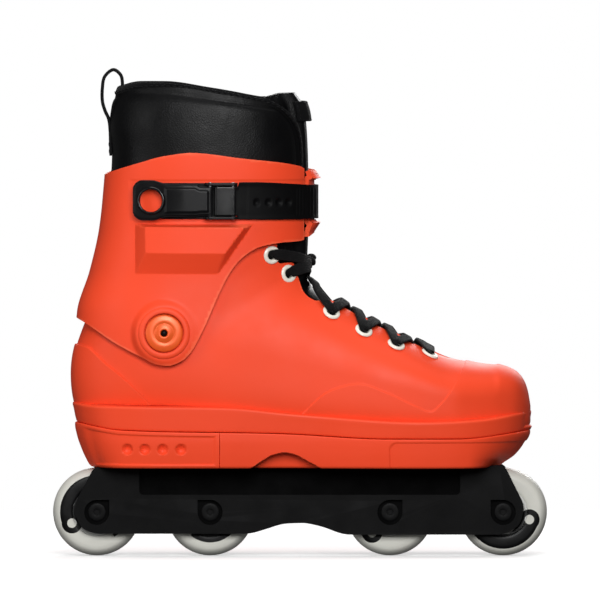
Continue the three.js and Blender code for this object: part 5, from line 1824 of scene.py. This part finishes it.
def frame_bolts():
    """The two bolts that hold the frame and the sole plates to the shell."""
    head = [(0, 54.6), (2, 54.6), (2.1, 53.4), (2.4, 53.4), (4.6, 53.7), (5.6, 54.2), (5.6, 56), (3, 56)]
    for name, x, top in (("rear", FRAME_BOLT_X[0], 83), ("front", FRAME_BOLT_X[1], 80.5)):
        profile = [*head, (3, top), (0, top)]
        bolt = turned(f"frame_bolt_{name}_steel", profile, STEEL, (x, 0, 0), axis="Z")
        place(crisp(bolt), "shell", "steel", f"frame_bolt_{name}")


def print_map(obj, turn):
    """Gives each corner of a wheel's mesh its place on the side face, in mm, turned back by `turn`."""
    across, up = math.cos(turn) / MM, math.sin(turn) / MM
    layer = obj.data.uv_layers.new(name="Print")
    for loop in obj.data.loops:
        x, _, z = obj.data.vertices[loop.vertex_index].co
        layer.data[loop.index].uv = (x * across + z * up, z * across - x * up)


def wheel(number, x, print_angle):
    """One wheel: tyre, hub and two bearings, which turn, and the axle, which doesn't."""
    centre = (x, 0, AXLE_Z)
    side = [
        (16.05, 11.7), (16.3, 11.85), (18, 11.95), (22, 12), (24.2, 11.75), (25.4, 11.0), (26.6, 9.6),
        (27.7, 7.6), (28.5, 5.2), (28.9, 2.6), (WHEEL_RADIUS, 0),
    ]
    tyre = turned(f"tyre_{number}_urethane", [*mirrored(side), side[0]], URETHANE, centre, segments=120)
    half_hub = [
        (8.7, 0), (8.7, 4.9), (11.05, 4.9), (11.05, 7.4), (11.05, 10.9), (11.3, 11.3), (11.8, 11.5),
        (12.6, 11.5), (13.1, 11.35), (13.4, 10.9), (13.7, 11.35), (14.2, 11.6), (15.4, 11.75),
        (15.85, 11.7), (16, 11.5),
    ]
    hub = turned(f"hub_{number}_core", half_hub + facing(half_hub[::-1], -1), HUB, centre, segments=96)
    finishes = ((tyre, "urethane", f"tyre_{number}"), (hub, "hub_plastic", f"wheel_hub_{number}"))
    for obj, slot, node in finishes:
        print_map(obj, math.radians(print_angle))
        place(crisp(obj, 60), f"wheel_{number}", slot, node)
    for letter, direction in (("a", -1), ("b", 1)):
        bearing(number, letter, direction, x)
    half_axle = [
        (0, 15.9), (1.9, 15.9), (2.1, 16.6), (2.6, 16.7), (5.2, 16.6), (5.8, 16.5), (6, 16.35), (6, 16.2),
        (AXLE_RADIUS, 16.2), (AXLE_RADIUS, 4.8), (5.9, 4.8), (5.9, 0),
    ]
    axle = turned(f"axle_{number}_steel", mirrored(half_axle), DARK_STEEL, centre, segments=48)
    place(crisp(axle), "shell", "dark_steel", f"axle_{number}")


def bearing(number, letter, direction, x):
    """A ball bearing with its shield between two rings."""
    outer, inner = 5.05, 11.9
    face = [
        (4.2, 0.2), (4.4, 0), (6.0, 0), (6.2, 0.2), (6.3, 0.7), (8.9, 0.7), (9.1, 0.2), (9.3, 0),
        (10.7, 0), (10.92, 0.25),
    ]
    front = [(r, direction * (inner - depth)) for r, depth in face]
    back = [(r, direction * (outer + depth)) for r, depth in reversed(face)]
    profile = front + back + [front[0]]
    race = turned(f"bearing_{number}{letter}_steel", profile, STEEL, (x, 0, AXLE_Z), segments=72)
    place(crisp(race), f"wheel_{number}", "steel", f"bearing_{number}{letter}")


# ---------------------------------------------------------------- everything in its place

boot_shell()
sole_plates()
cuff()
pivot_bolts()
insole()
heel_pad()
liner_foot()
liner_binding(*liner_cuff())
tongue()
tongue_tab()
eyelets()
lace()
buckle_base()
buckle_pins()
buckle_lever()
buckle_trigger()
ladder_strap()
cuff_screws()
pull_loop()
skate_frame()
frame_bolts()
for number, (x, angle) in enumerate(zip(AXLE_X, WHEEL_PRINT_ANGLES), start=1):
    wheel(number, x, angle)

# ---------------------------------------------------------------- stage, lights and camera


def floor():
    """A pale disc whose rim fades into the white background."""
    angle = np.linspace(0, 2 * math.pi, 96, endpoint=False)
    rings = []
    for radius in (1, 300, 600, FLOOR_RADIUS / MM):
        rings.append(np.column_stack([radius * np.cos(angle), radius * np.sin(angle), 0 * angle]))
    faces = grid_faces(len(rings), len(angle), closed=True)
    faces.append(tuple(range(len(angle))))
    disc = add_mesh("floor", np.concatenate(rings), faces, floor_material())
    disc.visible_diffuse = False
    disc.visible_glossy = False


def floor_material():
    surface = Surface("Pale floor", (0.86, 0.86, 0.86), 0.9, specular=0.1)
    surface.set("Emission Color", (1, 1, 1, 1)).set("Emission Strength", 0.35)
    length = surface.add("ShaderNodeVectorMath", {0: surface.place}, operation="LENGTH").outputs["Value"]
    fade = surface.between(length, FLOOR_RADIUS * 0.45, FLOOR_RADIUS * 0.98, 1.0, 0.0)
    surface.links.new(fade, surface.shader.inputs["Alpha"])
    return surface.material


def world():
    """White behind the object, and a dimmer grey as the light that falls on it."""
    sky = bpy.data.worlds.new("Studio")
    sky.use_nodes = True
    nodes, links = sky.node_tree.nodes, sky.node_tree.links
    background = nodes["Background"]
    background.inputs["Color"].default_value = (0.09, 0.09, 0.09, 1)
    white = nodes.new("ShaderNodeBackground")
    white.inputs["Color"].default_value = (1, 1, 1, 1)
    seen = nodes.new("ShaderNodeLightPath")
    mix = nodes.new("ShaderNodeMixShader")
    links.new(seen.outputs["Is Camera Ray"], mix.inputs[0])
    links.new(background.outputs[0], mix.inputs[1])
    links.new(white.outputs[0], mix.inputs[2])
    links.new(mix.outputs[0], nodes["World Output"].inputs["Surface"])
    bpy.context.scene.world = sky


def area_light(name, place, target, size, power):
    """A soft area light that faces a target."""
    light = bpy.data.lights.new(name, "AREA")
    light.shape = "RECTANGLE"
    light.size, light.size_y = size
    light.energy = power
    lamp = bpy.data.objects.new(name, light)
    bpy.context.scene.collection.objects.link(lamp)
    lamp.location = place
    lamp.rotation_euler = (Vector(target) - Vector(place)).to_track_quat("-Z", "Y").to_euler()


def camera():
    """A long lens on the skate's outer side, nearly level with it."""
    data = bpy.data.cameras.new("Camera")
    data.sensor_width = SENSOR_WIDTH
    data.lens = SENSOR_WIDTH * CAMERA_DISTANCE / VIEW_WIDTH
    data.clip_end = 50
    lens = bpy.data.objects.new("Camera", data)
    bpy.context.scene.collection.objects.link(lens)
    elevation = math.radians(CAMERA_ELEVATION)
    lens.location = AIM + Vector((0, -math.cos(elevation), math.sin(elevation))) * CAMERA_DISTANCE
    lens.rotation_euler = (AIM - lens.location).to_track_quat("-Z", "Y").to_euler()
    bpy.context.scene.camera = lens


floor()
world()
area_light("Key", (0.05, -1.5, 0.66), (0, 0, 0.15), (0.7, 0.7), 21.5)
area_light("Fill", (-1.4, -0.9, 0.4), (0, 0, 0.15), (0.8, 0.8), 6)
area_light("Top", (0.0, -0.1, 1.5), (0, 0, 0.1), (1.2, 0.8), 9)
area_light("Rim", (0.3, 1.5, 0.8), (0, 0, 0.15), (1.2, 0.8), 16)
camera()
bpy.context.scene.view_settings.view_transform = "Standard"
